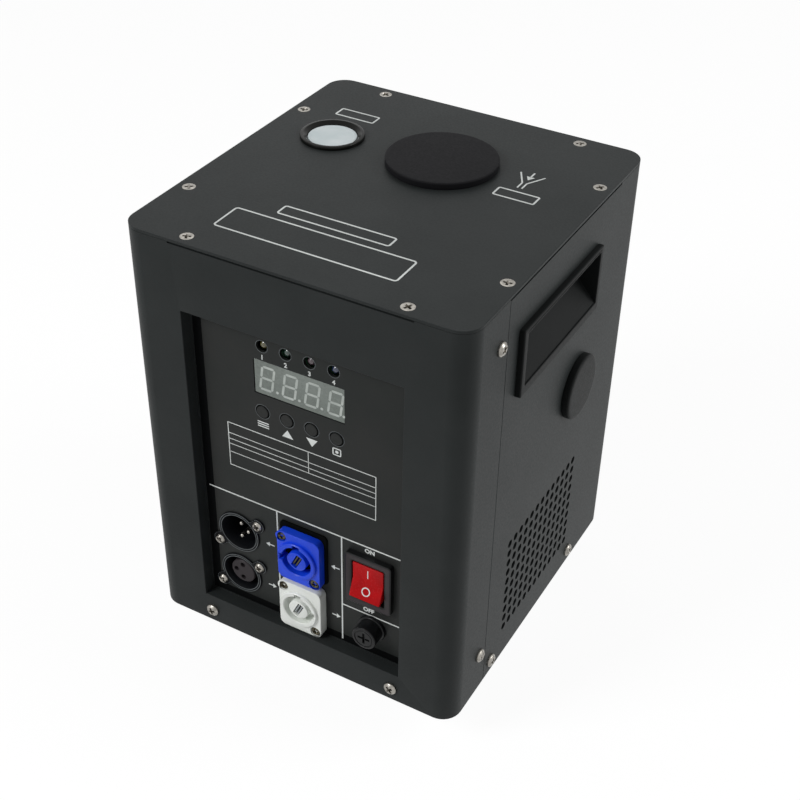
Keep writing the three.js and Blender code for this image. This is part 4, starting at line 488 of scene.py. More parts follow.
def lettering(
    words: str, name: str, side: Side, height: float, relief: float, weight: float = 0.02
) -> bpy.types.Object:
    """Sets plain words as a mesh on a face.

    The type is drawn flat with a thickness, made a mesh, centred on its own box, scaled so that
    its capitals have the height, and then placed.

    Args:
        words: What to set.
        name: Name of the piece.
        side: Face whose origin takes the middle of the words.
        height: Height of the capitals in mm.
        relief: Thickness of the print in mm.
        weight: How far the strokes grow, as a share of the type size.

    Returns:
        The new object at the origin.
    """
    type_curve = bpy.data.curves.new(name, "FONT")
    type_curve.body, type_curve.size, type_curve.extrude = words, 1.0, 0.5
    type_curve.resolution_u, type_curve.offset = 4, weight
    source = in_scene(name + "_type", type_curve)
    bpy.context.view_layer.update()
    graph = bpy.context.evaluated_depsgraph_get()
    made = bpy.data.meshes.new_from_object(source.evaluated_get(graph))
    bpy.data.objects.remove(source)
    flat = np.empty(len(made.vertices) * 3)
    made.vertices.foreach_get("co", flat)
    local = flat.reshape(-1, 3)
    middle = (local.min(axis=0) + local.max(axis=0)) / 2
    scale = height / np.ptp(local[:, 1])
    local = (local - middle) * np.array([scale, scale, relief]) + np.array([0, 0, relief / 2])
    made.vertices.foreach_set("co", (side.place(local) * MM).ravel())
    made.update()
    made.name = name
    return in_scene(name, made)


# ---------------------------------------------------------------- finishes

Tree = bpy.types.NodeTree
Socket = bpy.types.NodeSocket


def linear(code: str) -> Tuple[float, float, float, float]:
    """Turns an sRGB hex colour such as #3c4040 into linear light with full opacity."""
    parts = np.array([int(code[i : i + 2], 16) for i in (1, 3, 5)]) / 255
    light = np.where(parts <= 0.04045, parts / 12.92, ((parts + 0.055) / 1.055) ** 2.4)
    return (*light.tolist(), 1.0)


def add_node(tree: Tree, kind: str, inputs: Optional[Dict] = None, **settings) -> bpy.types.Node:
    """Adds a shader node with its settings, values and links.

    Args:
        tree: Node tree of the material or world.
        kind: Type of the node, without the common start of its name.
        inputs: Values or output sockets for the node's inputs, by name or number.
        settings: Attributes of the node.

    Returns:
        The new node.
    """
    made = tree.nodes.new("ShaderNode" + kind)
    for key, value in settings.items():
        setattr(made, key, value)
    for key, value in (inputs or {}).items():
        if isinstance(value, Socket):
            tree.links.new(value, made.inputs[key])
        else:
            made.inputs[key].default_value = value
    return made


def empty_tree(owner: Union[bpy.types.Material, bpy.types.World]) -> Tree:
    """Turns on the nodes of a material or world and clears them."""
    owner.use_nodes = True
    owner.node_tree.nodes.clear()
    return owner.node_tree


@dataclass(frozen=True)
class Finish:
    """A surface whose tone clouds slowly and whose grain shades its gloss and its relief.

    Grain, relief and cloud are the spacing, the depth and the size of the pattern in mm.
    """

    name: str
    tones: Tuple[str, str]
    roughness: Tuple[float, float]
    grain: float
    relief: float
    cloud: float = 40.0
    metallic: float = 0.0
    coat: float = 0.0
    specular: float = 0.5
    stretch: Triple = (1.0, 1.0, 1.0)

    def material(self) -> bpy.types.Material:
        """Makes the material once and hands out the same one after that."""
        if self.name not in MATERIALS:
            MATERIALS[self.name] = bpy.data.materials.new(self.name)
            tree = empty_tree(MATERIALS[self.name])
            plain = {"Metallic": self.metallic, "Specular IOR Level": self.specular}
            shader = add_node(tree, "BsdfPrincipled", plain)
            add_node(tree, "OutputMaterial", {"Surface": shader.outputs[0]})
            self.fill(tree, shader, add_node(tree, "TexCoord").outputs["Object"])
        return MATERIALS[self.name]

    def fill(self, tree: Tree, shader: bpy.types.Node, place: Socket) -> None:
        """Links the clouded tone, the grain's gloss and its relief to the shader.

        Args:
            tree: Node tree of the material.
            shader: Its surface shader.
            place: Object coordinates.
        """
        size = {"Vector": place, "Scale": 1 / (self.cloud * MM), "Detail": 3.0}
        cloud = add_node(tree, "TexNoise", size).outputs[0]
        even = add_node(tree, "MapRange", {0: cloud, 1: 0.35, 2: 0.65}).outputs[0]
        tones = {0: even, 6: linear(self.tones[0]), 7: linear(self.tones[1])}
        tone = add_node(tree, "Mix", tones, data_type="RGBA")
        along = add_node(tree, "Mapping", {"Vector": place, "Scale": self.stretch}).outputs[0]
        size = {"Vector": along, "Scale": 1 / (self.grain * MM), "Detail": 2.0}
        grain = add_node(tree, "TexNoise", size).outputs[0]
        span = {0: grain, 1: 0.3, 2: 0.7, 3: self.roughness[0], 4: self.roughness[1]}
        gloss = add_node(tree, "MapRange", span)
        relief = {"Strength": 1.0, "Distance": self.relief * MM, "Height": grain}
        bump = add_node(tree, "Bump", relief)
        tree.links.new(tone.outputs[2], shader.inputs["Base Color"])
        tree.links.new(gloss.outputs[0], shader.inputs["Roughness"])
        tree.links.new(bump.outputs[0], shader.inputs["Normal"])
        if self.coat:
            shader.inputs["Coat Weight"].default_value = self.coat
            shader.inputs["Coat Roughness"].default_value = 0.08


@dataclass(frozen=True)
class ClearFinish(Finish):
    """A tinted or clear surface that lets part of the light through."""

    clearness: float = 0.5

    def fill(self, tree: Tree, shader: bpy.types.Node, place: Socket) -> None:
        """Adds the share of light that passes to the plain surface, with Finish.fill's Args."""
        Finish.fill(self, tree, shader, place)
        shader.inputs["Transmission Weight"].default_value = self.clearness


@dataclass(frozen=True)
class LaminateFinish(Finish):
    """Circuit laminate: a solder mask with paler copper tracks under it."""

    track: float = 3.0
    track_share: float = 0.06
    track_tone: str = "#18432a"

    def fill(self, tree: Tree, shader: bpy.types.Node, place: Socket) -> None:
        """Replaces the clouded tone by a field of tracks, with Finish.fill's Args."""
        Finish.fill(self, tree, shader, place)
        colours = zip(("Color1", "Color2", "Mortar"), (*self.tones, self.track_tone))
        inputs = {"Vector": place, "Scale": 1 / (self.track * MM), "Mortar Size": self.track_share}
        inputs.update({name: linear(code) for name, code in colours})
        bricks = add_node(tree, "TexBrick", inputs)
        tree.links.new(bricks.outputs[0], shader.inputs["Base Color"])


MATERIALS: Dict[str, bpy.types.Material] = {}

# The dull black finishes have a low specular level, which was matched to the photo: under white
# surroundings the usual 0.5 shows them dark grey.

# Polyester powder coat, sprayed and baked on steel: dull, even, with a very fine orange peel. The
# real peel is about 0.3 mm apart and is drawn 1.1 mm apart so that it shows.
POWDER_COAT = Finish(
    "baked_powder_coat_black", ("#252828", "#2a2d2d"), (0.42, 0.52), 1.1, 0.012, specular=0.1
)
# The same coat on the control panel, rolled finer so that print holds on it.
PANEL_COAT = Finish(
    "baked_powder_coat_panel", ("#222524", "#282928"), (0.42, 0.50), 1.0, 0.008, specular=0.13
)
# Electroplated zinc on pressed steel: pale grey metal with a soft spangle about 4 mm across.
ZINC_STEEL = Finish(
    "zinc_plated_steel", ("#8f9496", "#a3a8aa"), (0.32, 0.48), 4.0, 0.01, cloud=12.0, metallic=1.0
)
# Nickel on small steel screws and contacts, dulled by handling: soft, slightly warm highlights.
NICKEL = Finish(
    "nickel_plated_steel", ("#86837d", "#a39f98"), (0.22, 0.36), 0.6, 0.004, 2.0, metallic=1.0
)
# Turned aluminium of the feed tube: satin, with its marks drawn out along the turning.
ALUMINIUM = Finish(
    "satin_turned_aluminium", ("#a9adaf", "#babdbf"), (0.28, 0.42), 1.5, 0.006, 20.0,
    metallic=1.0, stretch=(1.0, 1.0, 6.0),
)
# Steel that has been red hot: blue and straw oxide scale in patches about 8 mm wide.
SCALED_STEEL = Finish(
    "heat_scaled_steel", ("#4a4650", "#8a745c"), (0.45, 0.65), 2.0, 0.02, cloud=8.0, metallic=1.0
)
# Drawn copper tube of the heating coil: warm and smooth, with soft darker patches.
COPPER = Finish(
    "drawn_copper", ("#b0663f", "#c98058"), (0.25, 0.40), 1.5, 0.006, cloud=10.0, metallic=1.0
)
# Fired alumina sleeve: chalky white with fine pores.
CERAMIC = Finish("fired_alumina", ("#d9d4c8", "#e6e2d8"), (0.75, 0.88), 1.2, 0.03)
# Black nitrile rubber feet, moulded, with a dull bloom.
RUBBER = Finish("moulded_black_rubber", ("#1c1c1d", "#272727"), (0.72, 0.85), 1.0, 0.03)
# Black ABS of the handle pockets, the side plug and the fans, moulded with a light spark texture
# about 0.9 mm apart.
HANDLE_PLASTIC = Finish(
    "moulded_black_abs", ("#121414", "#171919"), (0.44, 0.54), 0.9, 0.012, specular=0.08
)
# Black nylon of the hopper cap, moulded matt: dull, with a faintly cool tone.
CAP_PLASTIC = Finish(
    "moulded_matt_nylon", ("#131315", "#18181a"), (0.52, 0.62), 1.1, 0.010, specular=0.06
)
# Black nylon of the switch's housing, the fuse holder and its cap, moulded smooth.
BLACK_PLASTIC = Finish(
    "moulded_black_nylon", ("#0e0f10", "#151617"), (0.28, 0.38), 0.8, 0.005, specular=0.2
)
# Glass-filled nylon of the signal connectors: deep black, dulled by the fibres at its surface.
SHADE_PLASTIC = Finish(
    "glass_filled_black_nylon", ("#06070a", "#0b0d10"), (0.45, 0.60), 0.8, 0.01, specular=0.1
)
# Dark grey nylon of the signal outlet's insert and the rotors: softly glossy. On the switch's bezel
# front this grey is partly painted light, paler than the shaded black sides.
GREY_PLASTIC = Finish(
    "grey_nylon_and_painted_bezel_light", ("#332f31", "#3a3638"), (0.38, 0.46), 0.8, 0.006, specular=0.1
)
# Natural polypropylene of the hopper, moulded, milky and slightly warm.
NATURAL_PLASTIC = Finish(
    "moulded_natural_polypropylene", ("#b3b1a5", "#c2c0b5"), (0.42, 0.55), 1.2, 0.012
)
# Saturated blue nylon of the power inlet, moulded with a soft gloss.
BLUE_PLASTIC = Finish(
    "moulded_blue_nylon", ("#0c3acc", "#1548e0"), (0.34, 0.44), 0.8, 0.006, 14.0, specular=0.3
)
# Light grey nylon of the power outlet, moulded with a soft gloss.
WHITE_PLASTIC = Finish(
    "moulded_light_nylon", ("#e4e8e2", "#ebeeea"), (0.32, 0.42), 0.8, 0.006, cloud=14.0
)
# Red polycarbonate of the rocker, moulded smooth: a deep, even red with a quiet shine.
RED_PLASTIC = Finish(
    "moulded_red_polycarbonate", ("#a0040a", "#bc080f"), (0.20, 0.30), 1.2, 0.004, 12.0,
    specular=0.1,
)
# White screen-printed ink: flat, with a faint weave of the screen.
PRINT_INK = Finish("screen_printed_ink", ("#c9cdcb", "#dfe3e1"), (0.55, 0.65), 0.5, 0.002)
# Grey tinted acrylic over the display's digits, and the paler diffusers of its segments.
DISPLAY_GREY = Finish(
    "tinted_display_acrylic", ("#6e7570", "#7b827d"), (0.24, 0.32), 2.5, 0.002, 18.0, specular=0.25
)
SEGMENT_PALE = Finish(
    "diffused_segment_resin", ("#a5aca7", "#b7bdb8"), (0.35, 0.45), 0.8, 0.002, cloud=6.0
)
# Frosted quartz dust disc of the spark outlet: pale, with a soft cool sheen.
DUST_DISC = Finish(
    "frosted_quartz_disc", ("#c4d0d2", "#d5dddf"), (0.34, 0.46), 1.0, 0.004, cloud=16.0
)
# Black nylon of the outlet's ring, polished so that its round edges catch the lamps.
RING_PLASTIC = Finish(
    "polished_black_nylon", ("#060705", "#0b0c09"), (0.18, 0.26), 0.8, 0.003, specular=0.15
)
# Pale grey of the fine raised lines on the signal connectors' plates and of the rings round the
# panel's holes: a painted highlight where these edges catch the lamps.
PAINTED_EDGE_HIGHLIGHT = Finish(
    "painted_edge_highlight", ("#43484a", "#545a5c"), (0.34, 0.44), 0.6, 0.003, cloud=3.0
)
# Black oxide on the small sunk screws: dark, brownish metal.
OXIDE_STEEL = Finish(
    "black_oxide_steel", ("#3f3b30", "#5c5748"), (0.28, 0.42), 0.6, 0.004, 2.0, metallic=1.0
)
# Dull, deep black of the power inlet's gasket plate, and of the band along the panel's left and
# bottom window edges, which is a painted shadow of those edges.
SHADOW_AND_GASKET_BLACK = Finish(
    "painted_shadow_and_gasket_black", ("#030404", "#060708"), (0.75, 0.90), 0.6, 0.002, specular=0.05
)
# Glass fibre laminate with a dark green solder mask: a soft gloss over paler tracks.
LAMINATE = LaminateFinish("glass_fibre_laminate", ("#0b2115", "#0f2a1b"), (0.30, 0.42), 1.0, 0.01)
# Drawn glass of the fuse tube: clear, with a faint waviness.
FUSE_GLASS = ClearFinish(
    "drawn_fuse_glass", ("#dfe8e6", "#eef4f2"), (0.04, 0.10), 2.0, 0.002, clearness=0.9
)
# Unlit lamps: tinted epoxy that shows dark with a hint of its colour.
LAMP_FINISHES = {
    colour: ClearFinish(
        f"tinted_epoxy_{colour}", tones, (0.08, 0.14), 1.0, 0.002, coat=0.8, clearness=0.25
    )
    for colour, tones in {
        "yellow": ("#57522a", "#6f6a3a"),
        "green": ("#1d3a30", "#2b4b40"),
        "red": ("#42303a", "#54414a"),
        "blue": ("#23304f", "#333f66"),
    }.items()
}


def dress(
    piece: bpy.types.Object,
    finish: Finish,
    slot: Slot,
    body: str = "cabinet",
    replaces: Sequence[str] = (),
) -> bpy.types.Object:
    """Gives a piece its finish and its body, and hides the CAD nodes that it stands for.

    Args:
        piece: Finished piece.
        finish: Its surface.
        slot: Not used.
        body: CAD body that it moves with.
        replaces: CAD nodes that it hides.

    Returns:
        The piece.
    """
    piece.data.materials.clear()
    piece.data.materials.append(finish.material())
    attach(piece, body)
    if replaces:
        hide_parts(*replaces)
    log.info("%s: %d faces, moves with %s", piece.name, len(piece.data.polygons), body)
    return piece


# ---------------------------------------------------------------- screws

# Half the length and half the width of a cross recess's bars. On a small head the length is a
# share of the head's radius, and the recess narrows to shares of both at its floor.
CROSS_HALF_LENGTH = 2.2
CROSS_HALF_WIDTH = 0.62
CROSS_HEAD_SHARE = 0.64
CROSS_FLOOR_SHARES = (0.55, 0.7)


def cross_angles(length: float, width: float) -> np.ndarray:
    """Angles round a cross recess, three between each two of its corners."""
    tip = math.atan2(width, length)
    corners = (np.array([-tip, tip, QUARTER / 2]) + np.arange(4)[:, None] * QUARTER).ravel()
    closed = np.append(corners, corners[0] + 2 * np.pi)
    return np.interp(np.arange(36) / 3, np.arange(13), closed)


def cross_reach(angles: np.ndarray, length: float, width: float) -> np.ndarray:
    """Distance from the middle of a cross to its edge.

    Each bar is a rectangle with the edge distance min(a / |cos|, b / |sin|), and the cross takes
    the larger of its two bars.

    Args:
        angles: Directions.
        length: Half the length of a bar.
        width: Half its width.

    Returns:
        The distance in each direction.
    """
    cos, sin = (np.maximum(np.abs(part), TINY) for part in (np.cos(angles), np.sin(angles)))
    return np.maximum(np.minimum(length / cos, width / sin), np.minimum(width / cos, length / sin))


@dataclass(frozen=True)
class Screw:
    """A cross-recessed screw: head, shank and recess."""

    head: float
    height: float
    seat: float = 0.05
    shank: float = 1.5
    reach: float = 5.0
    recess: float = 1.8
    flat: bool = False

    def profile(self, length: float) -> np.ndarray:
        """Radius and height up the shank and over the head to a recess of half a length."""
        if self.flat:
            under = [(self.shank, -self.reach), (self.shank, -1.4)]
            edge = [(self.head, -0.25), (self.head, -0.04), (self.head - 0.12, 0.0)]
        else:
            under = [(self.shank, -self.reach), (self.shank, self.seat)]
            dome = [(self.head, self.height * 0.55), (length + 0.25, self.height)]
            edge = soften([(self.head, self.seat), *dome], self.height * 0.5)
        return np.array([*under, *edge, (length + 0.12, self.height)])

    def draw(self, shape: Shape, on: Side, turn: float) -> None:
        """Adds the screw to a shape, its seat on the face's origin.

        The rings climb the shank, cross the head's underside, climb its edge and dome, and sink
        into a cross that narrows towards its floor.

        Args:
            shape: Shape that takes the screw.
            on: Face whose origin is the screw's middle.
            turn: Turn of the recess in degrees.
        """
        length = min(CROSS_HALF_LENGTH, self.head * CROSS_HEAD_SHARE)
        angles = cross_angles(length, CROSS_HALF_WIDTH)
        along, across = CROSS_FLOOR_SHARES
        rim = cross_reach(angles, length, CROSS_HALF_WIDTH)
        floor = cross_reach(angles, length * along, CROSS_HALF_WIDTH * across)
        path = self.profile(length)
        heights = [*path[:, 1], self.height, self.height - self.recess]
        rings = turned([*path[:, 0], rim, floor], heights, angles)
        cos, sin = math.cos(math.radians(turn)), math.sin(math.radians(turn))
        rings[..., :2] = rings[..., :2] @ np.array([[cos, sin], [-sin, cos]])
        shape.loft(rings, on=on)

    def piece(
        self,
        name: str,
        places: Sequence[Tuple[Side, float]],
        finish: Finish,
        replaces: Sequence[str] = (),
    ) -> None:
        """Makes one or more screws as one piece.

        Args:
            name: Name of the piece.
            places: For each screw, the face under it and the turn of its recess in degrees.
            finish: Its surface.
            replaces: CAD nodes that it hides.
        """
        shape = Shape(places[0][0])
        for on, turn in places:
            self.draw(shape, on, turn)
        shape.piece(name, finish, Slot.NICKEL, replaces=replaces)


@dataclass(frozen=True)
class Fasteners:
    """The screws that hold the cabinet together: their places on the faces and their turns."""

    pan: Screw = Screw(head=3.6, height=1.95)
    countersunk: Screw = Screw(head=3.3, height=0.0, reach=7.0, flat=True)
    sunk: float = 0.03
    top_side: Pair = (83.7, 50.3)
    top_end: Pair = (56.5, 88.7)
    top_turns: Tuple[float, ...] = (12, 38, 65, 20, 50, 8, 33, 71)
    sides: Tuple[Tuple[str, float, float, float, float], ...] = (
        ("seam_top", -66.5, 212.0, 15, 27),
        ("seam_bottom", -66.5, 24.5, 46, 50),
        ("base_front", -52.3, 8.0, 77, 73),
        ("base_rear", 45.5, 8.0, 108, 96),
    )
    fronts: Tuple[Tuple[str, float, float, float], ...] = (
        ("left", -55.0, 8.0, 18),
        ("right", 55.0, 8.0, 41),
    )

    def top_places(self) -> List[Pair]:
        """Places of the top plate's screws in the order of the CAD nodes."""
        (side_x, side_y), (end_x, end_y) = self.top_side, self.top_end
        places: List[Pair] = []
        for s in (-1, 1):
            places += [(s * side_x, side_y), (s * side_x, -side_y)]
            places += [(end_x, s * end_y), (-end_x, s * end_y)]
        return places

    def build(self) -> None:
        """Makes every screw of the cabinet."""
        for i, (place, turn) in enumerate(zip(self.top_places(), self.top_turns)):
            name, on = f"top_plate_screw_{i + 1}", Face.TOP.at(*place, -self.sunk)
            self.countersunk.piece(name + "_nickel", [(on, turn)], NICKEL, [name])
        for where, y, z, turn, left_turn in self.sides:
            name, on = f"side_screw_{where}", Face.RIGHT.at(y, z)
            self.pan.piece(name + "_nickel", [(on, turn)], NICKEL, [name])
            self.pan.piece(f"left_{name}", [(Face.LEFT.at(-y, z), left_turn)], NICKEL)
        for where, x, z, turn in self.fronts:
            name, on = f"front_screw_{where}", Face.FRONT.at(x, z)
            self.pan.piece(name + "_nickel", [(on, turn)], NICKEL, [name])


# ---------------------------------------------------------------- cabinet


@dataclass(frozen=True)
class Cabinet:
    """Sheet-metal shells, top plate and control panel."""

    corner: float = 10.5
    sheet: float = 1.5
    shell_top: float = 232.9
    groove: float = 0.8
    groove_half: float = 63.0
    flange: float = 12.0
    seam: float = -59.8
    seam_gap: float = 0.4
    lap_reach: Pair = (16.0, 3.0)
    lap_levels: Pair = (-220.0, -3.6)
    lap_gap: float = 0.3
    window: Pair = (118.0, 179.7)
    window_middle: float = 107.65
    window_return: float = 7.5
    window_corner: float = 0.5
    window_roll: float = 0.4
    window_hem: Pair = (0.6, 0.5)
    panel: Pair = (124.0, 185.7)
    panel_return: float = 9.0
    top_edge: float = 0.4
    vent_columns: int = 13
    vent_pitch: float = 6.4
    vent_radius: float = 2.2
    vent_z: float = 49.5
    vent_rows: Tuple[Tuple[float, int], ...] = ((-1.0, 10), (1.0, 4))
    handle_cut: Pair = (84.8, 32.2)
    handle_middle: Pair = (-3.8, 194.0)
    plug_place: Pair = (29.5, 133.5)
    plug_hole: float = 14.8
    arc_steps: int = 8

    @property
    def flat_half(self) -> float:
        """Half the straight width of the front."""
        return HALF_WIDTH - self.corner

    @property
    def arc(self) -> float:
        """Length of the sheet that goes round a corner."""
        return self.corner * math.pi / 2

    @property
    def wall(self) -> float:
        """Distance from the middle to the inner skin of the front and rear."""
        return HALF_DEPTH - self.sheet

    def run_to(self, y: float) -> float:
        """Distance along the rear shell from its middle to a place on a side."""
        return self.flat_half + self.arc + (HALF_DEPTH - self.corner - y)

    def wrapped(self, flat: np.ndarray, inset: float, turn: float) -> np.ndarray:
        """Bends flat sheet points round the cabinet's plan.

        The run is straight to the corner, then follows its arc by length, then the side:
        x = sign (straight + R sin a), y = R (1 - cos a) + rest - half depth. The inset moves the
        point against the outward direction, and a turn of -1 puts the sheet round the rear.

        Args:
            flat: Points as run and height.
            inset: Depth under the outer surface.
            turn: 1 for the front shell, -1 for the rear shell.

        Returns:
            Machine points in mm.
        """
        run, sign = np.abs(flat[:, 0]), np.sign(flat[:, 0])
        angle = np.clip(run - self.flat_half, 0.0, self.arc) / self.corner
        rest = np.maximum(run - self.flat_half - self.arc, 0.0)
        x = sign * (np.minimum(run, self.flat_half) + self.corner * np.sin(angle))
        y = self.corner * (1 - np.cos(angle)) + rest - HALF_DEPTH
        x, y = x - inset * sign * np.sin(angle), y + inset * np.cos(angle)
        return np.column_stack([turn * x, turn * y, flat[:, 1] + BODY_FLOOR])

    def bent(
        self,
        outlines: Loops,
        turn: float,
        bare: Optional[Callable[[np.ndarray], np.ndarray]] = None,
    ) -> Shape:
        """Makes a shell from its flat layout, with edges at the steps of both corner arcs.

        Args:
            outlines: The layout's outline and holes.
            turn: 1 for the front shell, -1 for the rear shell.
            bare: Tells which border edges get no rim.

        Returns:
            A shape with the shell, which goes on on the cabinet's top face.
        """
        steps = self.flat_half + np.linspace(0.0, self.arc, self.arc_steps + 1)
        runs = np.concatenate([[steps[0] - 0.5], steps, [steps[-1] + 0.5]])
        low, high = -2.0, self.shell_top + 2.0
        lines = [np.array([[s * run, low], [s * run, high]]) for run in runs for s in (-1, 1)]
        flat, faces = filled(outlines, lines)
        outer, inner = (self.wrapped(flat, inset, turn) for inset in (0.0, self.sheet))
        return Shape(Face.TOP.at()).sheet(outer, inner, faces, bare)

    def vents(self) -> List[np.ndarray]:
        """Outlines of the round holes in both sides, on the rear shell's flat layout."""
        holes: List[np.ndarray] = []
        for sign, rows in self.vent_rows:
            column = (np.arange(self.vent_columns) - (self.vent_columns - 1) / 2) * self.vent_pitch
            row = (np.arange(rows) - (rows - 1) / 2) * self.vent_pitch + self.vent_z
            y, z = np.meshgrid(column, row)
            middles = np.column_stack([sign * self.run_to(y.ravel()), z.ravel()])
            holes += list(middles[:, None] + circle(self.vent_radius, 16)[None])
        return holes

    def front_shell(self) -> None:
        """Makes the front shell with its window, whose edges are bent round and returned."""
        reach = self.flat_half + self.arc + (HALF_DEPTH - self.corner + self.seam)
        high, low, half = self.shell_top, self.shell_top - self.groove, self.groove_half
        outline = [(-reach, 0.0), (reach, 0.0), (reach, high), (half, high), (half, low)]
        outline += [(-half, low), (-half, high), (-reach, high)]
        bend = np.linspace(0.0, QUARTER, 6)
        roll, (lip, step), back = self.window_roll, self.window_hem, -self.window_return
        path = np.column_stack([-roll * (1 - np.sin(bend)), -roll * (1 - np.cos(bend))])
        hem = [(0.0, step + back), (lip, step + back), (lip, back)]
        hem += [(-self.sheet, back), (-self.sheet, -self.sheet)]
        rings = framed(*self.window, self.window_corner, np.concatenate([path, hem]), 4)
        rings = rings + (0.0, self.window_middle, 0.0)
        opening = np.array(self.window) / 2 + roll + 0.01

        def at_window(middles: np.ndarray) -> np.ndarray:
            """Border edges that the bent edge of the window takes."""
            off = np.abs(middles[:, [0, 2]] - (0.0, self.window_middle + BODY_FLOOR))
            return np.all(off <= opening, axis=1) & (middles[:, 1] < -HALF_DEPTH + 1)

        shape = self.bent([np.array(outline), rings[0, :, :2]], 1, at_window)
        shape.loft(rings, start=False, end=False, on=Face.FRONT.at())
        top = -self.sheet - SEAT
        shape.bar((-half, -self.wall, top - self.sheet), (half, -self.wall + self.flange, top))
        shape.piece("front_shell_sheet", POWDER_COAT, Slot.POWDER_COAT, replaces=["front_shell"])

    def rear_shell(self) -> None:
        """Makes the rear shell with the vents, the handle openings and the plug hole."""
        reach, end = self.run_to(self.seam + self.seam_gap), self.run_to(self.groove_half)
        high, low, half = self.shell_top, self.shell_top - self.groove, self.groove_half
        right = [(reach, low), (end, low), (end, high), (half, high), (half, low)]
        left = [(-run, z) for run, z in reversed(right)]
        outline = np.array([(-reach, 0.0), (reach, 0.0), *right, *left])
        holes = self.vents()
        handle_run, handle_z = self.run_to(self.handle_middle[0]), self.handle_middle[1]
        for sign in (-1, 1):
            holes.append(rectangle(*self.handle_cut) + (sign * handle_run, handle_z))
        holes.append(
            circle(self.plug_hole) + (-self.run_to(self.plug_place[0]), self.plug_place[1])
        )
        shape = self.bent([outline, *holes], -1)
        top, inner = -self.sheet - SEAT, HALF_WIDTH - self.sheet
        shape.bar((-half, self.wall - self.flange, top - self.sheet), (half, self.wall, top))
        front, (bottom, upper) = self.seam + self.seam_gap, self.lap_levels
        for sign in (-1, 1):
            a, b = sorted((sign * inner, sign * (inner - self.flange)))
            shape.bar((a, front, top - self.sheet), (b, half, top))
            near = inner - self.lap_gap
            a, b = sorted((sign * near, sign * (near - self.sheet)))
            back, on = self.lap_reach
            shape.bar((a, self.seam - back, bottom), (b, self.seam + on, upper))
        shape.piece("rear_shell_sheet", POWDER_COAT, Slot.POWDER_COAT, replaces=["rear_shell"])

    def top_plate(self, outlet: "SparkOutlet", cap: "HopperCap", fasteners: Fasteners) -> None:
        """Makes the top plate with its softened edge and the holes of what stands in it.

        Args:
            outlet: Spark outlet that passes the plate.
            cap: Cap over the hopper's mouth.
            fasteners: Screws that sink into the plate.
        """
        edge, sheet = self.top_edge, self.sheet
        path = soften([(edge, -sheet), (0.0, -sheet), (0.0, 0.0), (edge, 0.0)], edge)
        rings = framed(2 * HALF_WIDTH, 2 * HALF_DEPTH, self.corner, path, 10)
        holes = [circle(outlet.plate_hole) + outlet.place, circle(cap.mouth) + cap.place]
        head = circle(fasteners.countersunk.head + 0.1, 24)
        holes += [head + place for place in fasteners.top_places()]

        def at_edge(middles: np.ndarray) -> np.ndarray:
            """Border edges that the softened edge takes."""
            off = np.abs(middles[:, :2]) > np.array([HALF_WIDTH, HALF_DEPTH]) - self.corner
            near = np.abs(middles[:, :2]) > np.array([HALF_WIDTH, HALF_DEPTH]) - edge - 0.05
            return np.all(off, axis=1) | np.any(near, axis=1)

        shape = Shape(Face.TOP.at()).slab([rings[-1, :, :2], *holes], sheet, at_edge)
        shape.loft(rings, start=False, end=False)
        shape.piece("top_plate_sheet", POWDER_COAT, Slot.POWDER_COAT, replaces=["top_plate"])

    def control_panel(self, holes: Loops) -> None:
        """Makes the control panel with its holes and folded edges.

        Args:
            holes: Outlines of the holes on the panel's face.
        """
        outline = rectangle(*self.panel) + (0.0, self.window_middle)
        shape = Shape(Face.PANEL.at()).slab([outline, *holes], self.sheet)
        x, z, middle = self.panel[0] / 2, self.panel[1] / 2, self.window_middle
        for low, high in ((-z, -z + self.sheet), (z - self.sheet, z)):
            shape.bar((-x, middle + low, -self.panel_return), (x, middle + high, -self.sheet))
        shape.piece("control_panel_sheet", PANEL_COAT, Slot.PANEL_COAT, replaces=["control_panel"])


@dataclass(frozen=True)
class Feet:
    """Tapered rubber feet with a recess for their screw."""

    place: Pair = (58.0, 63.0)
    height: float = 21.9
    top: float = 12.5
    tip: float = 11.0
    recess: Pair = (5.0, 12.0)
    spigot: Pair = (2.0, 29.0)
    rounding: Tuple[float, ...] = (0.5, 1.2, 0.6, 0.0)

    def build(self) -> None:
        """Makes the four feet, each a profile turned round its axis."""
        profile = [self.recess, (self.recess[0], 0.0), (self.tip, 0.0), (self.top, self.height)]
        profile += [(self.spigot[0], self.height), self.spigot]
        for front, y in (("front", -1), ("rear", 1)):
            for hand, x in (("left", -1), ("right", 1)):
                node = f"foot_{front}_{hand}"
                on = Face.FLOOR.at(x * self.place[0], y * self.place[1])
                foot = lathe(on, profile, self.rounding, 40)
                foot.piece(node + "_rubber", RUBBER, Slot.RUBBER, replaces=[node])


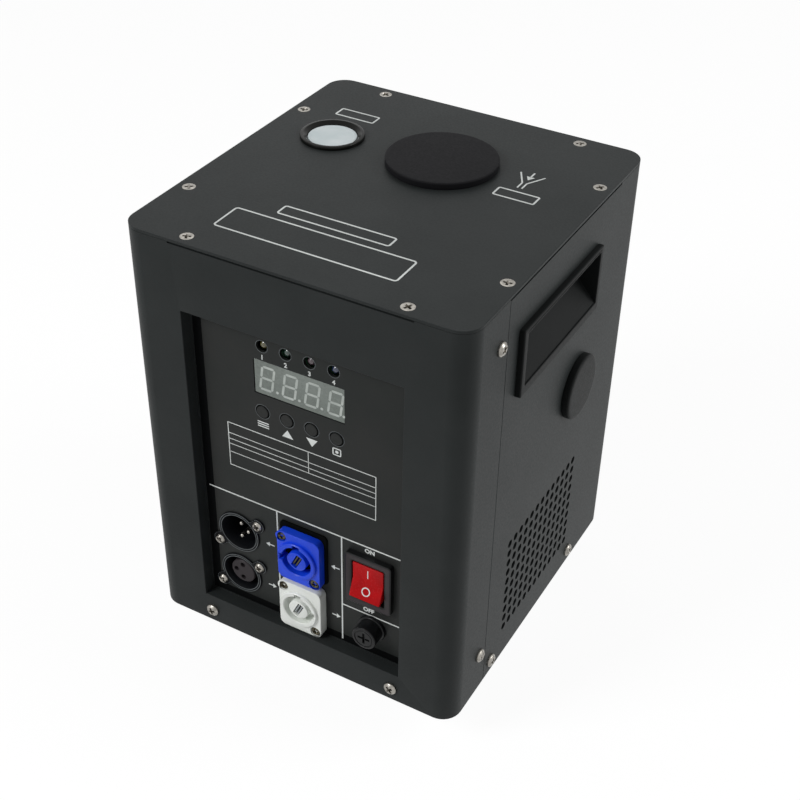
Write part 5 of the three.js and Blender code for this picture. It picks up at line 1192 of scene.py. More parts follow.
@dataclass(frozen=True)
class Handles:
    """Carrying handles: a frame proud of the side round a pocket whose floor is a ramp."""

    middle: Pair = (-3.8, 192.8)
    frame: Pair = (88.5, 36.5)
    proud: float = 3.0
    mouth_width: float = 81.0
    mouth_low: float = 179.8
    mouth_high: float = 208.2
    depth: float = 19.0
    back: float = 4.0
    wall: float = 1.6
    corner: float = 1.2
    inner_corner: float = 0.6

    def rings(self) -> np.ndarray:
        """Rings of the whole handle as one skin.

        They climb the outside of the pocket, widen along the back of the frame, climb its edge,
        narrow across its front to the mouth, and sink down the ramp to the back of the pocket.
        Each is listed as its distance out of the side, lower and upper height, width and corner.

        Returns:
            The rings, in order.
        """
        low, high, width = self.mouth_low, self.mouth_high, self.mouth_width
        wall, half, proud, inner = self.wall, self.frame[1] / 2, self.proud, self.inner_corner
        bottom, top, outer = self.middle[1] - half, self.middle[1] + half, width + 2 * wall
        rows = [
            (-self.depth - wall, high - self.back - wall, high + wall, outer, 1.0),
            (-wall, low - wall, high + wall, outer, 1.0),
            (SEAT, low - wall, high + wall, outer, 1.0),
            (SEAT, bottom, top, self.frame[0], self.corner),
        ]
        for inset, out in soften([(0.0, 1.0), (0.0, proud), (2.0, proud)], 0.8):
            corner = max(self.corner - inset, 0.4)
            rows.append((out, bottom + inset, top - inset, self.frame[0] - 2 * inset, corner))
        for grow, out in soften([(1.4, proud), (0.0, proud), (0.0, proud - 0.9)], 0.6):
            rows.append((out, low - grow, high + grow, width + 2 * grow, inner + max(grow, 0.0)))
        rows.append((-self.depth, high - self.back, high, width, inner))
        rings = [
            framed(wide, upper - lower, corner, [(0.0, out)]) + (0.0, (lower + upper) / 2, 0.0)
            for out, lower, upper, wide, corner in rows
        ]
        return np.concatenate(rings)

    def build(self) -> None:
        """Makes both handles."""
        for name, face, sign in (("right", Face.RIGHT, 1), ("left", Face.LEFT, -1)):
            node, shape = f"handle_{name}", Shape(face.at(sign * self.middle[0])).loft(self.rings())
            shape.piece(node + "_pocket", HANDLE_PLASTIC, Slot.BLACK_PLASTIC, replaces=[node])


@dataclass(frozen=True)
class SidePlug:
    """The round plug in the right side."""

    place: Pair = (29.5, 133.5)
    radius: float = 17.5
    proud: float = 4.2
    crown: Pair = (2.2, 0.3)
    middle: float = 4.0
    shank: float = 14.5
    reach: float = 5.0
    rounding: Tuple[float, ...] = (0.3, 0.2, 1.0, 0.6)

    def build(self) -> None:
        """Makes the plug: shank, flange and a slightly crowned face, turned round its axis."""
        inset, drop = self.crown
        profile = [(self.shank, -self.reach), (self.shank, SEAT), (self.radius, SEAT)]
        profile += [(self.radius, self.proud - drop), (self.radius - inset, self.proud)]
        profile += [(self.middle, self.proud)]
        plug = lathe(Face.RIGHT.at(*self.place), profile, self.rounding, 72)
        slot = Slot.BLACK_PLASTIC
        plug.piece("side_plug_disc", HANDLE_PLASTIC, slot, "side_plug", ["side_plug"])


# ---------------------------------------------------------------- top of the machine


@dataclass(frozen=True)
class HopperCap:
    """The flat cap on the hopper's mouth and the skirt that holds it there."""

    place: Pair = (7.4, 33.2)
    mouth: float = 24.2
    radius: float = 28.2
    proud: float = 3.5
    crown: Pair = (1.4, 0.1)
    middle: float = 6.0
    skirt: float = 23.6
    skirt_wall: float = 3.0
    skirt_depth: float = 11.0
    rounding: Tuple[float, ...] = (0.4, 0.4, 0.0, 0.3, 0.9, 0.5)

    def build(self) -> None:
        """Makes the cap as one profile: underside, skirt, edge and top."""
        hollow, (inset, drop) = self.skirt - self.skirt_wall, self.crown
        profile = [(hollow, SEAT), (hollow, -self.skirt_depth), (self.skirt, -self.skirt_depth)]
        profile += [(self.skirt, SEAT), (self.radius, SEAT), (self.radius, self.proud - drop)]
        profile += [(self.radius - inset, self.proud), (self.middle, self.proud)]
        cap = lathe(Face.TOP.at(*self.place), profile, self.rounding, 96)
        cap.piece("hopper_cap_disc", CAP_PLASTIC, Slot.BLACK_PLASTIC, "hopper_cap", ["hopper_cap"])


@dataclass(frozen=True)
class SparkOutlet:
    """The nozzle's rim on the top plate and the loose disc in it."""

    place: Pair = (-54.0, 30.5)
    plate_hole: float = 14.9
    rim: float = 16.5
    proud: float = 2.0
    seat: float = 12.9
    seat_depth: float = 0.8
    bore: float = 11.0
    outer: float = 14.6
    length: float = 70.0
    disc_radius: float = 12.5
    disc_thickness: float = 1.0
    disc_border: Pair = (1.4, 1.8)
    disc_dip: float = 0.12
    disc_middle: float = 3.0
    disc_rounding: Tuple[float, ...] = (0.1, 0.2, 0.2, 0.2)

    def build(self) -> None:
        """Makes the nozzle as a closed profile turned round its axis, and its dust disc."""
        on, out, rim, seat = Face.TOP.at(*self.place), self.proud, self.rim, self.seat
        profile = [(self.bore, -self.length), (self.outer, -self.length), (self.outer, SEAT)]
        profile += [(rim, SEAT), (rim, out - 0.7), (rim - 0.25, out - 0.2), (rim - 0.7, out)]
        profile += [(seat + 1.9, out), (seat + 1.5, out - 0.3), (seat, 0.4)]
        profile += [(seat, -self.seat_depth), (self.bore, -self.seat_depth)]
        ring = Shape(on).loft(revolved(profile, 72), wrapped=True)
        node, slot = "spark_nozzle", Slot.GREY_PLASTIC
        ring.piece(node + "_ring", RING_PLASTIC, slot, replaces=[node])
        low, far, (near, inner) = SEAT - self.seat_depth, self.disc_radius, self.disc_border
        top = low + self.disc_thickness
        face = top - self.disc_dip
        path = [(far - 0.2, low), (far, low + 0.2), (far, top), (far - near, top)]
        path += [(far - inner, face), (self.disc_middle, face)]
        disc, node = lathe(on, path, self.disc_rounding, 72), "outlet_disc"
        disc.piece(node + "_face", DUST_DISC, Slot.ALUMINIUM, node, [node])


# ---------------------------------------------------------------- control panel


@dataclass(frozen=True)
class Display:
    """The four-digit display behind its opening in the panel."""

    middle: Pair = (-0.25, 169.2)
    size: Pair = (49.0, 19.0)
    face: float = -0.3
    depth: float = 8.0
    digit_middles: Tuple[float, ...] = (-17.7, -5.2, 7.0, 19.5)
    digit: Pair = (6.6, 12.9)
    digit_z: float = 169.2
    bar: float = 1.25
    bar_gap: float = 0.18
    slant: float = math.radians(8.0)
    dot_middles: Tuple[float, ...] = (-12.3, -0.2, 12.0, 23.8)
    dot_z: float = 163.4
    dot: float = 0.75
    relief: Pair = (-0.1, 0.03)

    def openings(self) -> List[np.ndarray]:
        """Outline of the opening in the panel."""
        return [rectangle(self.size[0] + 2 * PLAY, self.size[1] + 2 * PLAY) + self.middle]

    def segments(self) -> np.ndarray:
        """Outlines of a digit's seven bars.

        A bar is a six-sided strip with mitred ends about its middle. It lies along the middle or
        an end of the digit, or stands beside its upper or lower half, and the whole digit is
        sheared to the right by the slant.

        Returns:
            Seven outlines of six points.
        """
        (width, height), half = self.digit, self.bar / 2
        along, up = width / 2 - self.bar_gap, height / 4 - self.bar_gap
        flat = np.array([(-along, 0.0), (-along + half, -half), (along - half, -half)])
        tall = np.array([(0.0, -up), (half, -up + half), (half, up - half)])
        flat, tall = np.concatenate([flat, -flat]), np.concatenate([tall, -tall])
        x, z = width / 2, height / 4
        bars = [flat + (0.0, level) for level in (-2 * z, 0.0, 2 * z)]
        bars += [tall + (side, level) for side in (-x, x) for level in (-z, z)]
        shaped = np.array(bars)
        shaped[..., 0] += shaped[..., 1] * math.tan(self.slant)
        return shaped

    def build(self) -> None:
        """Makes the display's body and the pale bars and dots on its face."""
        path = soften([(0.0, -self.depth), (0.0, self.face), (0.5, self.face)], 0.3)
        body = framed(*self.size, 0.4, np.concatenate([path, [(0.6, self.face)]]))
        shape, node = Shape(Face.PANEL.at(*self.middle)).loft(body), "display_module"
        shape.piece(node + "_face", DISPLAY_GREY, Slot.DISPLAY, replaces=[node])
        outlines = [bar + (x, self.digit_z) for x in self.digit_middles for bar in self.segments()]
        outlines += [circle(self.dot, 16) + (x, self.dot_z) for x in self.dot_middles]
        shape = Shape(Face.PANEL.at())
        low, high = self.relief
        for outline in outlines:
            shape.prism(outline, self.face + low, self.face + high)
        shape.piece("display_segments", SEGMENT_PALE, Slot.DISPLAY)


@dataclass(frozen=True)
class Row:
    """Four round parts side by side on the panel, each in a hole of its own."""

    z: float
    pitch: float
    hole: float
    hole_sides: int
    middle: float = -0.5

    def places(self) -> np.ndarray:
        """Middles of the parts along the panel, left to right."""
        return self.middle + (np.arange(4) - 1.5) * self.pitch

    def openings(self) -> List[np.ndarray]:
        """Outlines of the holes."""
        return [circle(self.hole, self.hole_sides) + (x, self.z) for x in self.places()]


@dataclass(frozen=True)
class Lamps(Row):
    """Four indicator lamps behind round holes."""

    z: float = 187.0
    pitch: float = 12.87
    hole: float = 3.1
    hole_sides: int = 32
    radius: float = 2.5
    tip: float = -0.8
    depth: float = 8.0

    def build(self) -> None:
        """Makes each lamp: a straight body with a round dome."""
        slots = (Slot.LAMP_YELLOW, Slot.LAMP_GREEN, Slot.LAMP_RED, Slot.LAMP_BLUE)
        lens = revolved(nosed(self.radius, self.depth, self.tip, 0.93, 8), 32)
        for x, (colour, finish), slot in zip(self.places(), LAMP_FINISHES.items(), slots):
            node, shape = f"lamp_{colour}", Shape(Face.PANEL.at(x, self.z)).loft(lens)
            shape.piece(node + "_lens", finish, slot, replaces=[node])


@dataclass(frozen=True)
class Buttons(Row):
    """Four push buttons, each with a collar behind the panel."""

    z: float = 149.3
    pitch: float = 13.67
    hole: float = 3.9
    hole_sides: int = 40
    radius: float = 3.25
    proud: float = 0.5
    collar: float = 4.7
    collar_levels: Pair = (-3.4, -2.6)
    rounding: Tuple[float, ...] = (0.0, 0.0, 0.0, 0.0, 0.35)

    def build(self) -> None:
        """Makes each button as one profile turned round its axis."""
        back = PANEL_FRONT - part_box("button_menu")[1].y / MM
        (low, high), radius, collar = self.collar_levels, self.radius, self.collar
        profile = [(radius, back), (radius, low), (collar, low), (collar, high), (radius, high)]
        profile += [(radius, self.proud), (1.0, self.proud - 0.1)]
        for x, name in zip(self.places(), ("menu", "up", "down", "enter")):
            node, on = f"button_{name}", Face.PANEL.at(x, self.z)
            key = lathe(on, profile, self.rounding, 40)
            key.piece(node + "_key", PANEL_COAT, Slot.GREY_PLASTIC, node, [node])


@dataclass(frozen=True)
class SignalConnectors:
    """Round three-contact connectors: an inlet with pins and an outlet with sockets."""

    x: float = -39.5
    inlet_z: float = 65.3
    outlet_z: float = 36.9
    sides: int = 120
    hole: float = 11.9
    barrel: float = 11.6
    cavity: float = 10.0
    cavity_depth: float = 14.0
    body: float = 11.0
    body_depth: float = 22.0
    insert: float = 7.2
    insert_face: float = -0.7
    insert_bevel: float = 0.4
    contact_circle: float = 4.2
    contact: float = 1.2
    socket: float = 1.5
    socket_depth: float = 8.0
    inlet_angles: Triple = (90, 0, 270)
    outlet_angles: Triple = (90, 180, 270)
    plate: float = 12.4
    plate_out: float = 0.9
    ear: float = 4.0
    rim: float = 0.35
    screw_place: Pair = (12.0, 9.5)
    screw_turns: Pair = (25, 55)
    screw: Screw = Screw(head=2.8, height=2.3, seat=0.9, reach=3.0, shank=1.4)

    def openings(self) -> List[np.ndarray]:
        """Outlines of the two connector holes in the panel."""
        return [circle(self.hole) + (self.x, z) for z in (self.inlet_z, self.outlet_z)]

    def outline(self, angles: np.ndarray) -> np.ndarray:
        """Distance to the edge of the plate: a circle with an ear round each screw.

        An ear reaches d cos a + sqrt(r^2 - d^2 sin^2 a), where d is its distance, r its radius
        and a the angle from its middle.

        Args:
            angles: Directions.

        Returns:
            The larger of circle and ear in each direction.
        """
        far, turn = math.hypot(*self.screw_place), math.atan2(*self.screw_place[::-1])
        cos, sin = np.abs(np.cos(angles - turn)), np.sin(angles - turn)
        span = self.ear**2 - (far * sin) ** 2
        ear = np.where(span > 0, far * cos + np.sqrt(np.maximum(span, 0.0)), 0.0)
        return np.maximum(self.plate, ear)

    def shell(self) -> np.ndarray:
        """Rings of the body: rear, barrel, plate with its ears, lip and wall of the cavity."""
        angles, out = around(self.sides), self.plate_out
        edge = self.outline(angles)
        radii = [self.body, self.body, self.barrel, self.barrel, edge, edge, edge - 0.25]
        radii += [self.barrel, self.barrel - 0.75, self.cavity, self.cavity]
        heights = [-self.body_depth, -1.8, -1.8, 0.05, 0.05, out - 0.25, out]
        heights += [out, out - 0.15, -0.9, -self.cavity_depth]
        return turned(radii, heights, angles)

    def rims(self, name: str, side: Side) -> None:
        """Makes the two fine raised lines on a plate, one along its edge and one at its mouth;
        their pale grey is a painted highlight.

        Args:
            name: inlet or outlet.
            side: Face whose origin is the connector's middle.
        """
        angles, shape = around(self.sides), Shape(side)
        low, high = self.plate_out - 0.2, self.plate_out + 0.1
        # Painted highlight: the raised lines are drawn pale where the plate's edges catch the
        # lamps.
        for outer in (self.outline(angles) - 0.3, np.full(self.sides, self.barrel - 0.6)):
            inner = outer - self.rim
            rings = turned([outer, outer, inner, inner], [low, high, high, low], angles)
            shape.loft(rings, wrapped=True)
        shape.piece(f"signal_{name}_rims", PAINTED_EDGE_HIGHLIGHT, Slot.GREY_PLASTIC)

    def contacts(self, degrees: Triple) -> np.ndarray:
        """Middles of the contacts at their angles on their circle."""
        turn = np.radians(degrees)
        return self.contact_circle * np.column_stack([np.cos(turn), np.sin(turn)])

    def inlet(self, side: Side) -> None:
        """Makes the inlet's barrel and its three round-nosed pins.

        Args:
            side: Face whose origin is the inlet's middle.
        """
        node, slot = "signal_inlet", Slot.GREY_PLASTIC
        shape = Shape(side).loft(self.shell())
        shape.piece(node + "_barrel", SHADE_PLASTIC, slot, replaces=[node])
        pin = revolved(nosed(self.contact, self.cavity_depth, -1.0, 0.9, 5), 16)
        pins = Shape(side)
        for x, z in self.contacts(self.inlet_angles):
            pins.loft(pin, on=side.at(x, z))
        pins.piece(node + "_pins", NICKEL, Slot.NICKEL)

    def outlet(self, side: Side) -> None:
        """Makes the outlet's barrel, and the insert with its three sockets.

        Args:
            side: Face whose origin is the outlet's middle.
        """
        node, slot = "signal_outlet", Slot.GREY_PLASTIC
        floor, face = -self.cavity_depth, self.insert_face
        shape = Shape(side).loft(self.shell(), end=False)
        shape.deck([circle(self.cavity, self.sides), circle(self.insert, 64)], floor)
        shape.piece(node + "_barrel", SHADE_PLASTIC, slot, replaces=[node])
        wide, narrow = self.insert, self.insert - self.insert_bevel
        edge = [(wide, floor), (wide, face - self.insert_bevel), (narrow, face)]
        insert = Shape(side).loft(revolved(edge, 64), end=False)
        places = self.contacts(self.outlet_angles)
        holes = [circle(self.socket, 20) + place for place in places]
        insert.deck([circle(narrow, 64), *holes], face)
        well = revolved([(self.socket, face), (self.socket, face - self.socket_depth)], 20)
        for x, z in places:
            insert.loft(well, start=False, on=side.at(x, z))
        insert.piece(node + "_insert", GREY_PLASTIC, slot)

    def build(self) -> None:
        """Makes both connectors and their screws."""
        sides = {"inlet": Face.PANEL.at(self.x, self.inlet_z)}
        sides["outlet"] = Face.PANEL.at(self.x, self.outlet_z)
        self.inlet(sides["inlet"])
        self.outlet(sides["outlet"])
        x, up = self.screw_place
        for name, side in sides.items():
            self.rims(name, side)
            places = [(side.at(s * x, s * up), turn) for s, turn in zip((1, -1), self.screw_turns)]
            self.screw.piece(f"signal_{name}_screws", places, NICKEL)


@dataclass(frozen=True)
class PowerConnectors:
    """Twist-lock power connectors: a flange, a raised boss, a keyed ring groove and a core."""

    x: float = -0.7
    inlet_z: float = 67.6
    outlet_z: float = 34.1
    inlet_keys: Pair = (90, 180)
    outlet_keys: Pair = (90, 0)
    plate: Pair = (27.6, 32.4)
    plate_shift: Pair = (0.9, 2.0)
    size: Pair = (25.0, 31.0)
    outline_shift: float = 0.5
    corner: float = 3.5
    face: float = 5.5
    boss: float = 11.2
    boss_proud: float = 1.5
    groove_outer: float = 8.6
    groove_inner: float = 5.6
    groove_depth: float = 6.0
    key_reach: float = 10.0
    key_half: float = 2.0
    slot: Pair = (1.7, 4.3)
    slot_turn: float = math.radians(-26.0)
    blade: Pair = (0.4, 3.5)
    blade_middles: Pair = (-0.85, 0.85)
    blade_levels: Pair = (-5.05, -1.2)
    barrel: float = 11.6
    barrel_depth: float = 24.0
    well: float = 3.1
    well_depth: float = 1.2
    screw_place: Pair = (9.5, 12.0)
    screw_turns: Pair = (30, 12)
    screw: Screw = Screw(head=2.7, height=0.95, reach=4.0, shank=1.3, recess=1.2)

    def openings(self) -> List[np.ndarray]:
        """Outlines of the two barrel holes in the panel."""
        return [circle(self.barrel + PLAY) + (self.x, z) for z in (self.inlet_z, self.outlet_z)]

    def key_angles(self, keys: Pair) -> np.ndarray:
        """Angles round the groove that hold every corner of its keys."""
        tip = math.atan2(self.key_half, self.key_reach)
        foot = math.asin(self.key_half / self.groove_outer)
        corners = [math.radians(key) + part for key in keys for part in (-foot, -tip, tip, foot)]
        every = np.concatenate([around(90), np.mod(corners, 2 * np.pi)])
        every = np.unique(np.round(every, 6))
        return every[np.concatenate([[True], np.diff(every) > 0.008])]

    def groove(self, angles: np.ndarray, keys: Pair) -> np.ndarray:
        """Outer edge of the groove in each direction.

        It is the larger of the groove's radius and each key's rectangle, whose edge lies at
        min(reach / cos d, half width / |sin d|) for an angle d off the key's middle.

        Args:
            angles: Directions.
            keys: Directions of the keys in degrees.

        Returns:
            The distance in each direction.
        """
        reach = np.full(angles.shape, self.groove_outer)
        for key in keys:
            off = angles - math.radians(key)
            cos, sin = np.cos(off), np.maximum(np.abs(np.sin(off)), TINY)
            edge = np.minimum(self.key_reach / np.maximum(cos, TINY), self.key_half / sin)
            reach = np.where(cos > 0.5, np.maximum(reach, edge), reach)
        return reach

    def socket(self, keys: Pair) -> np.ndarray:
        """Rings of the boss, the keyed groove, the core and the slot in the core.

        The slot is a rectangle with the edge distance min(a / |cos|, b / |sin|).

        Args:
            keys: Directions of the keys in degrees.

        Returns:
            The rings, from the boss's foot to the slot's floor.
        """
        angles, boss, core = self.key_angles(keys), self.boss, self.groove_inner
        edge, off = self.groove(angles, keys), angles - self.slot_turn
        cos, sin = (np.maximum(np.abs(part), TINY) for part in (np.cos(off), np.sin(off)))
        slit = np.minimum(self.slot[0] / cos, self.slot[1] / sin)
        top = self.face + self.boss_proud
        floor = top - self.groove_depth
        radii = [boss, boss - 0.1, boss - 0.5, edge + 0.35, edge, edge]
        radii += [core, core, core - 0.15, core - 0.6, slit + 0.15, slit, slit]
        heights = [self.face, top - 0.4, top, top, top - 0.35, floor, floor]
        heights += [top - 1.0, top - 0.6, top - 0.45, top - 0.45, top - 0.6, top - 5.0]
        return turned(radii, heights, angles)

    def connector(
        self, name: str, side: Side, keys: Pair, finish: Finish, slot: Slot, metal: Finish
    ) -> None:
        """Makes one connector with its barrel, blades and screws.

        Args:
            name: inlet or outlet.
            side: Face whose origin is its middle.
            keys: Directions of its keys in degrees.
            finish: Its plastic.
            slot: Slot of the record.
            metal: Metal of its blades.
        """
        node, x, up, rings = f"power_{name}", *self.screw_place, self.socket(keys)
        edge = soften([(0.0, SEAT), (0.0, self.face), (0.9, self.face)], 0.55)
        flange = framed(*self.size, self.corner, edge, 6) + (self.outline_shift, 0.0, 0.0)
        floor = self.face - self.well_depth
        hole = revolved([(self.well, self.face), (self.well, floor)], 28)
        wells = [circle(self.well, 28) + place for place in ((-x, up), (x, -up))]
        shape = Shape(side).loft(flange, end=False)
        shape.deck([flange[-1, :, :2], rings[0, :, :2], *wells], self.face)
        for place in ((-x, up), (x, -up)):
            shape.loft(hole, start=False, on=side.at(*place))
        shape.loft(rings, start=False)
        shape.piece(node + "_flange", finish, slot, replaces=[node])
        barrel = revolved([(self.barrel, -self.barrel_depth), (self.barrel, SEAT)])
        Shape(side).loft(barrel).piece(node + "_barrel", finish, slot)
        cos, sin = math.cos(self.slot_turn), math.sin(self.slot_turn)
        blades = Shape(Side(side.origin, (cos, 0.0, sin), (-sin, 0.0, cos)))
        top = self.face + self.boss_proud
        (thick, long), (low, high) = self.blade, self.blade_levels
        for off in self.blade_middles:
            blades.bar((off - thick, -long, top + low), (off + thick, long, top + high))
        dress(soft_edges(blades.mesh(node + "_blades"), 0.15), metal, Slot.NICKEL)
        first, second = self.screw_turns
        places = [(side.at(-x, up, floor), first), (side.at(x, -up, floor), second)]
        self.screw.piece(node + "_screws", places, OXIDE_STEEL)

    def build(self) -> None:
        """Makes the blue inlet on its black plate, and the light grey outlet."""
        plate = framed(*self.plate, 2.5, [(0.0, 0.05), (0.0, 0.8), (0.3, 1.1)])
        inlet, outlet = (Face.PANEL.at(self.x, z) for z in (self.inlet_z, self.outlet_z))
        shape = Shape(inlet).loft(plate + (*self.plate_shift, 0.0))
        shape.piece("power_inlet_plate", SHADOW_AND_GASKET_BLACK, Slot.BLACK_PLASTIC)
        blue, white = (BLUE_PLASTIC, Slot.BLUE_PLASTIC), (WHITE_PLASTIC, Slot.WHITE_PLASTIC)
        self.connector("inlet", inlet, self.inlet_keys, *blue, OXIDE_STEEL)
        self.connector("outlet", outlet, self.outlet_keys, *white, ZINC_STEEL)


@dataclass(frozen=True)
class RockerSwitch:
    """The framed power switch and its two-faced rocker."""

    middle: Pair = (38.7, 68.7)
    size: Pair = (25.8, 32.0)
    proud: float = 3.5
    corner: float = 1.5
    body: Pair = (22.0, 27.6)
    body_depth: float = 18.0
    mouth: Pair = (18.4, 24.3)
    mouth_floor: float = -15.0
    rim: float = 0.55
    step: float = 0.12
    face_depth: float = 0.9
    rocker_width: float = 17.4
    half_height: float = 11.4
    front: float = 5.6
    back: float = 4.0
    pivot: float = -2.5
    throw: float = math.radians(22.0)
    stroke: Pair = (0.5, 5.0)
    ring: Pair = (1.8, 2.4)
    relief: Pair = (-0.02, 0.05)

    def openings(self) -> List[np.ndarray]:
        """Outline of the switch's opening in the panel."""
        return [rectangle(self.body[0] + 2 * PLAY, self.body[1] + 2 * PLAY) + self.middle]

    def frame(self) -> None:
        """Makes the black housing with its bezel, and a paler grey face on the bezel's front, which
        is partly painted light against the shaded black sides.
        """
        out, rim, face = self.proud, self.rim, self.proud - self.step
        edge = [(0.0, SEAT), (0.0, out - 0.35), (rim, out), (rim, face)]
        parts = [framed(*self.body, 0.8, [(0.0, -self.body_depth), (0.0, SEAT)])]
        parts += [framed(*self.size, self.corner, edge)]
        parts += [framed(*self.mouth, 0.9, [(-0.3, face), (-0.3, self.mouth_floor)])]
        shape = Shape(Face.PANEL.at(*self.middle)).loft(np.concatenate(parts))
        slot, node = Slot.GREY_PLASTIC, "switch_housing"
        shape.piece(node + "_body", BLACK_PLASTIC, slot, replaces=[node])
        # Painted light: the bezel's front is drawn grey and its sides black, partly for a matt face
        # and partly for the light on the front.
        outer = [(rim + 0.06, face), (rim + 0.06, out)]
        lip = soften([(-1.1, out), (0.0, out - 0.5), (0.0, out - self.face_depth)], 0.3)
        rings = [framed(*self.size, self.corner, outer), framed(*self.mouth, 0.6, lip)]
        shape = Shape(Face.PANEL.at(*self.middle))
        shape.loft(np.concatenate(rings), start=False, end=False)
        shape.piece("switch_bezel_face", GREY_PLASTIC, slot)

    def section(self) -> np.ndarray:
        """Section of the rocker at rest as outward distance and height about the switch's middle.

        The section is drawn level about the pivot and turned by half the throw, so that its upper
        face is level with the frame: out' = out cos h - up sin h, up' = out sin h + up cos h.

        Returns:
            Points of the section, lower back first, then the front and the upper back.
        """
        cos, sin = math.cos(self.throw / 2), math.sin(self.throw / 2)
        out = self.front * cos + self.half_height * sin
        up = -self.front * sin + self.half_height * cos
        low = [(-self.back, -self.half_height / 2), (out, -up), (self.front / cos, 0.0)]
        level = np.array([*low, (out, up), (-self.back, self.half_height / 2)])
        turned_out = level[:, 0] * cos - level[:, 1] * sin
        turned_up = level[:, 0] * sin + level[:, 1] * cos
        return np.column_stack([turned_out + self.pivot, turned_up])

    def rocker(self) -> None:
        """Makes the rocker: its section drawn along the whole width."""
        place = Face.PANEL.at(self.middle[0] - self.rocker_width / 2, self.middle[1])
        lengths = Side(place.origin, (0.0, 0.0, 1.0), (0.0, -1.0, 0.0))
        shape = Shape(lengths).prism(self.section()[::-1, ::-1], 0.0, self.rocker_width)
        piece = soft_edges(shape.mesh("power_rocker_key"), 0.55, 3)
        dress(piece, RED_PLASTIC, Slot.RED_PLASTIC, "power_rocker", ["power_rocker"])

    def marks(self) -> None:
        """Prints I on the upper face and O on the lower face of the rocker."""
        _, lower, middle, upper, _ = self.section()
        (near, far), (foot, top) = self.ring, self.relief
        for name, low, high in (("on", middle, upper), ("off", lower, middle)):
            rise = (high - low) / np.linalg.norm(high - low)
            centre = (low + high) / 2
            origin = Face.PANEL.at(*self.middle).place(np.array([0.0, centre[1], centre[0]]))
            face = Side(tuple(origin), (1.0, 0.0, 0.0), (0.0, -float(rise[0]), float(rise[1])))
            if name == "on":
                shape = Shape(face).prism(rectangle(*self.stroke), foot, top)
            else:
                ring = [(near, foot), (far, foot), (far, top), (near, top)]
                shape = Shape(face).loft(revolved(ring, 40), wrapped=True)
            shape.piece(f"rocker_mark_{name}", PRINT_INK, Slot.WHITE_PLASTIC, "power_rocker")

    def build(self) -> None:
        """Makes the switch."""
        self.frame()
        self.rocker()
        self.marks()


@dataclass(frozen=True)
class FuseHolder:
    """The panel fuse holder and the cap that carries its fuse."""

    place: Pair = (39.8, 36.8)
    flange: float = 7.8
    flange_out: float = 2.1
    barrel: float = 6.0
    depth: float = 34.0
    bore: float = 3.4
    bore_end: float = 3.0
    rounding: Tuple[float, ...] = (0.0, 0.1, 0.7, 0.2)
    nut: float = 9.0
    nut_levels: Pair = (-4.6, -1.6)
    cap: float = 6.7
    cap_back: float = 2.2
    cap_front: float = 9.2
    cap_rounding: Tuple[float, ...] = (0.7, 0.1, 0.1, 0.1, 0.1)
    slot: Pair = (3.4, 0.65)

    def openings(self) -> List[np.ndarray]:
        """Outline of the holder's hole in the panel."""
        return [circle(self.barrel + PLAY) + self.place]

    def build(self) -> None:
        """Makes the holder with its nut, and the cap with a ring groove and a cross slot."""
        side, slot = Face.PANEL.at(*self.place), Slot.BLACK_PLASTIC
        depth, out = self.depth, self.flange_out
        profile = [(self.barrel, -depth), (self.barrel, SEAT), (self.flange, SEAT)]
        profile += [(self.flange, out), (self.bore, out), (self.bore, -depth + self.bore_end)]
        shape, (low, high) = lathe(side, profile, self.rounding, 56), self.nut_levels
        radii, heights = [self.nut, self.nut, self.barrel, self.barrel], [low, high, high, low]
        shape.loft(turned(radii, heights, around(6)), wrapped=True)
        shape.piece("fuse_holder_body", BLACK_PLASTIC, slot, replaces=["fuse_holder"])
        angles, front = cross_angles(*self.slot), self.cap_front
        reach = cross_reach(angles, *self.slot)
        path = [(self.cap, self.cap_back), (self.cap, front), (5.35, front), (5.2, front - 0.45)]
        path += [(4.85, front - 0.45), (4.7, front - 0.1), (3.75, front - 0.1)]
        path = soften(path, self.cap_rounding)
        heights = [*path[:, 1], front - 0.1, front - 1.3]
        cap = Shape(side).loft(turned([*path[:, 0], reach, reach * 0.92], heights, angles))
        cap.piece("fuse_cap_knob", BLACK_PLASTIC, slot, "fuse_cap", ["fuse_cap"])
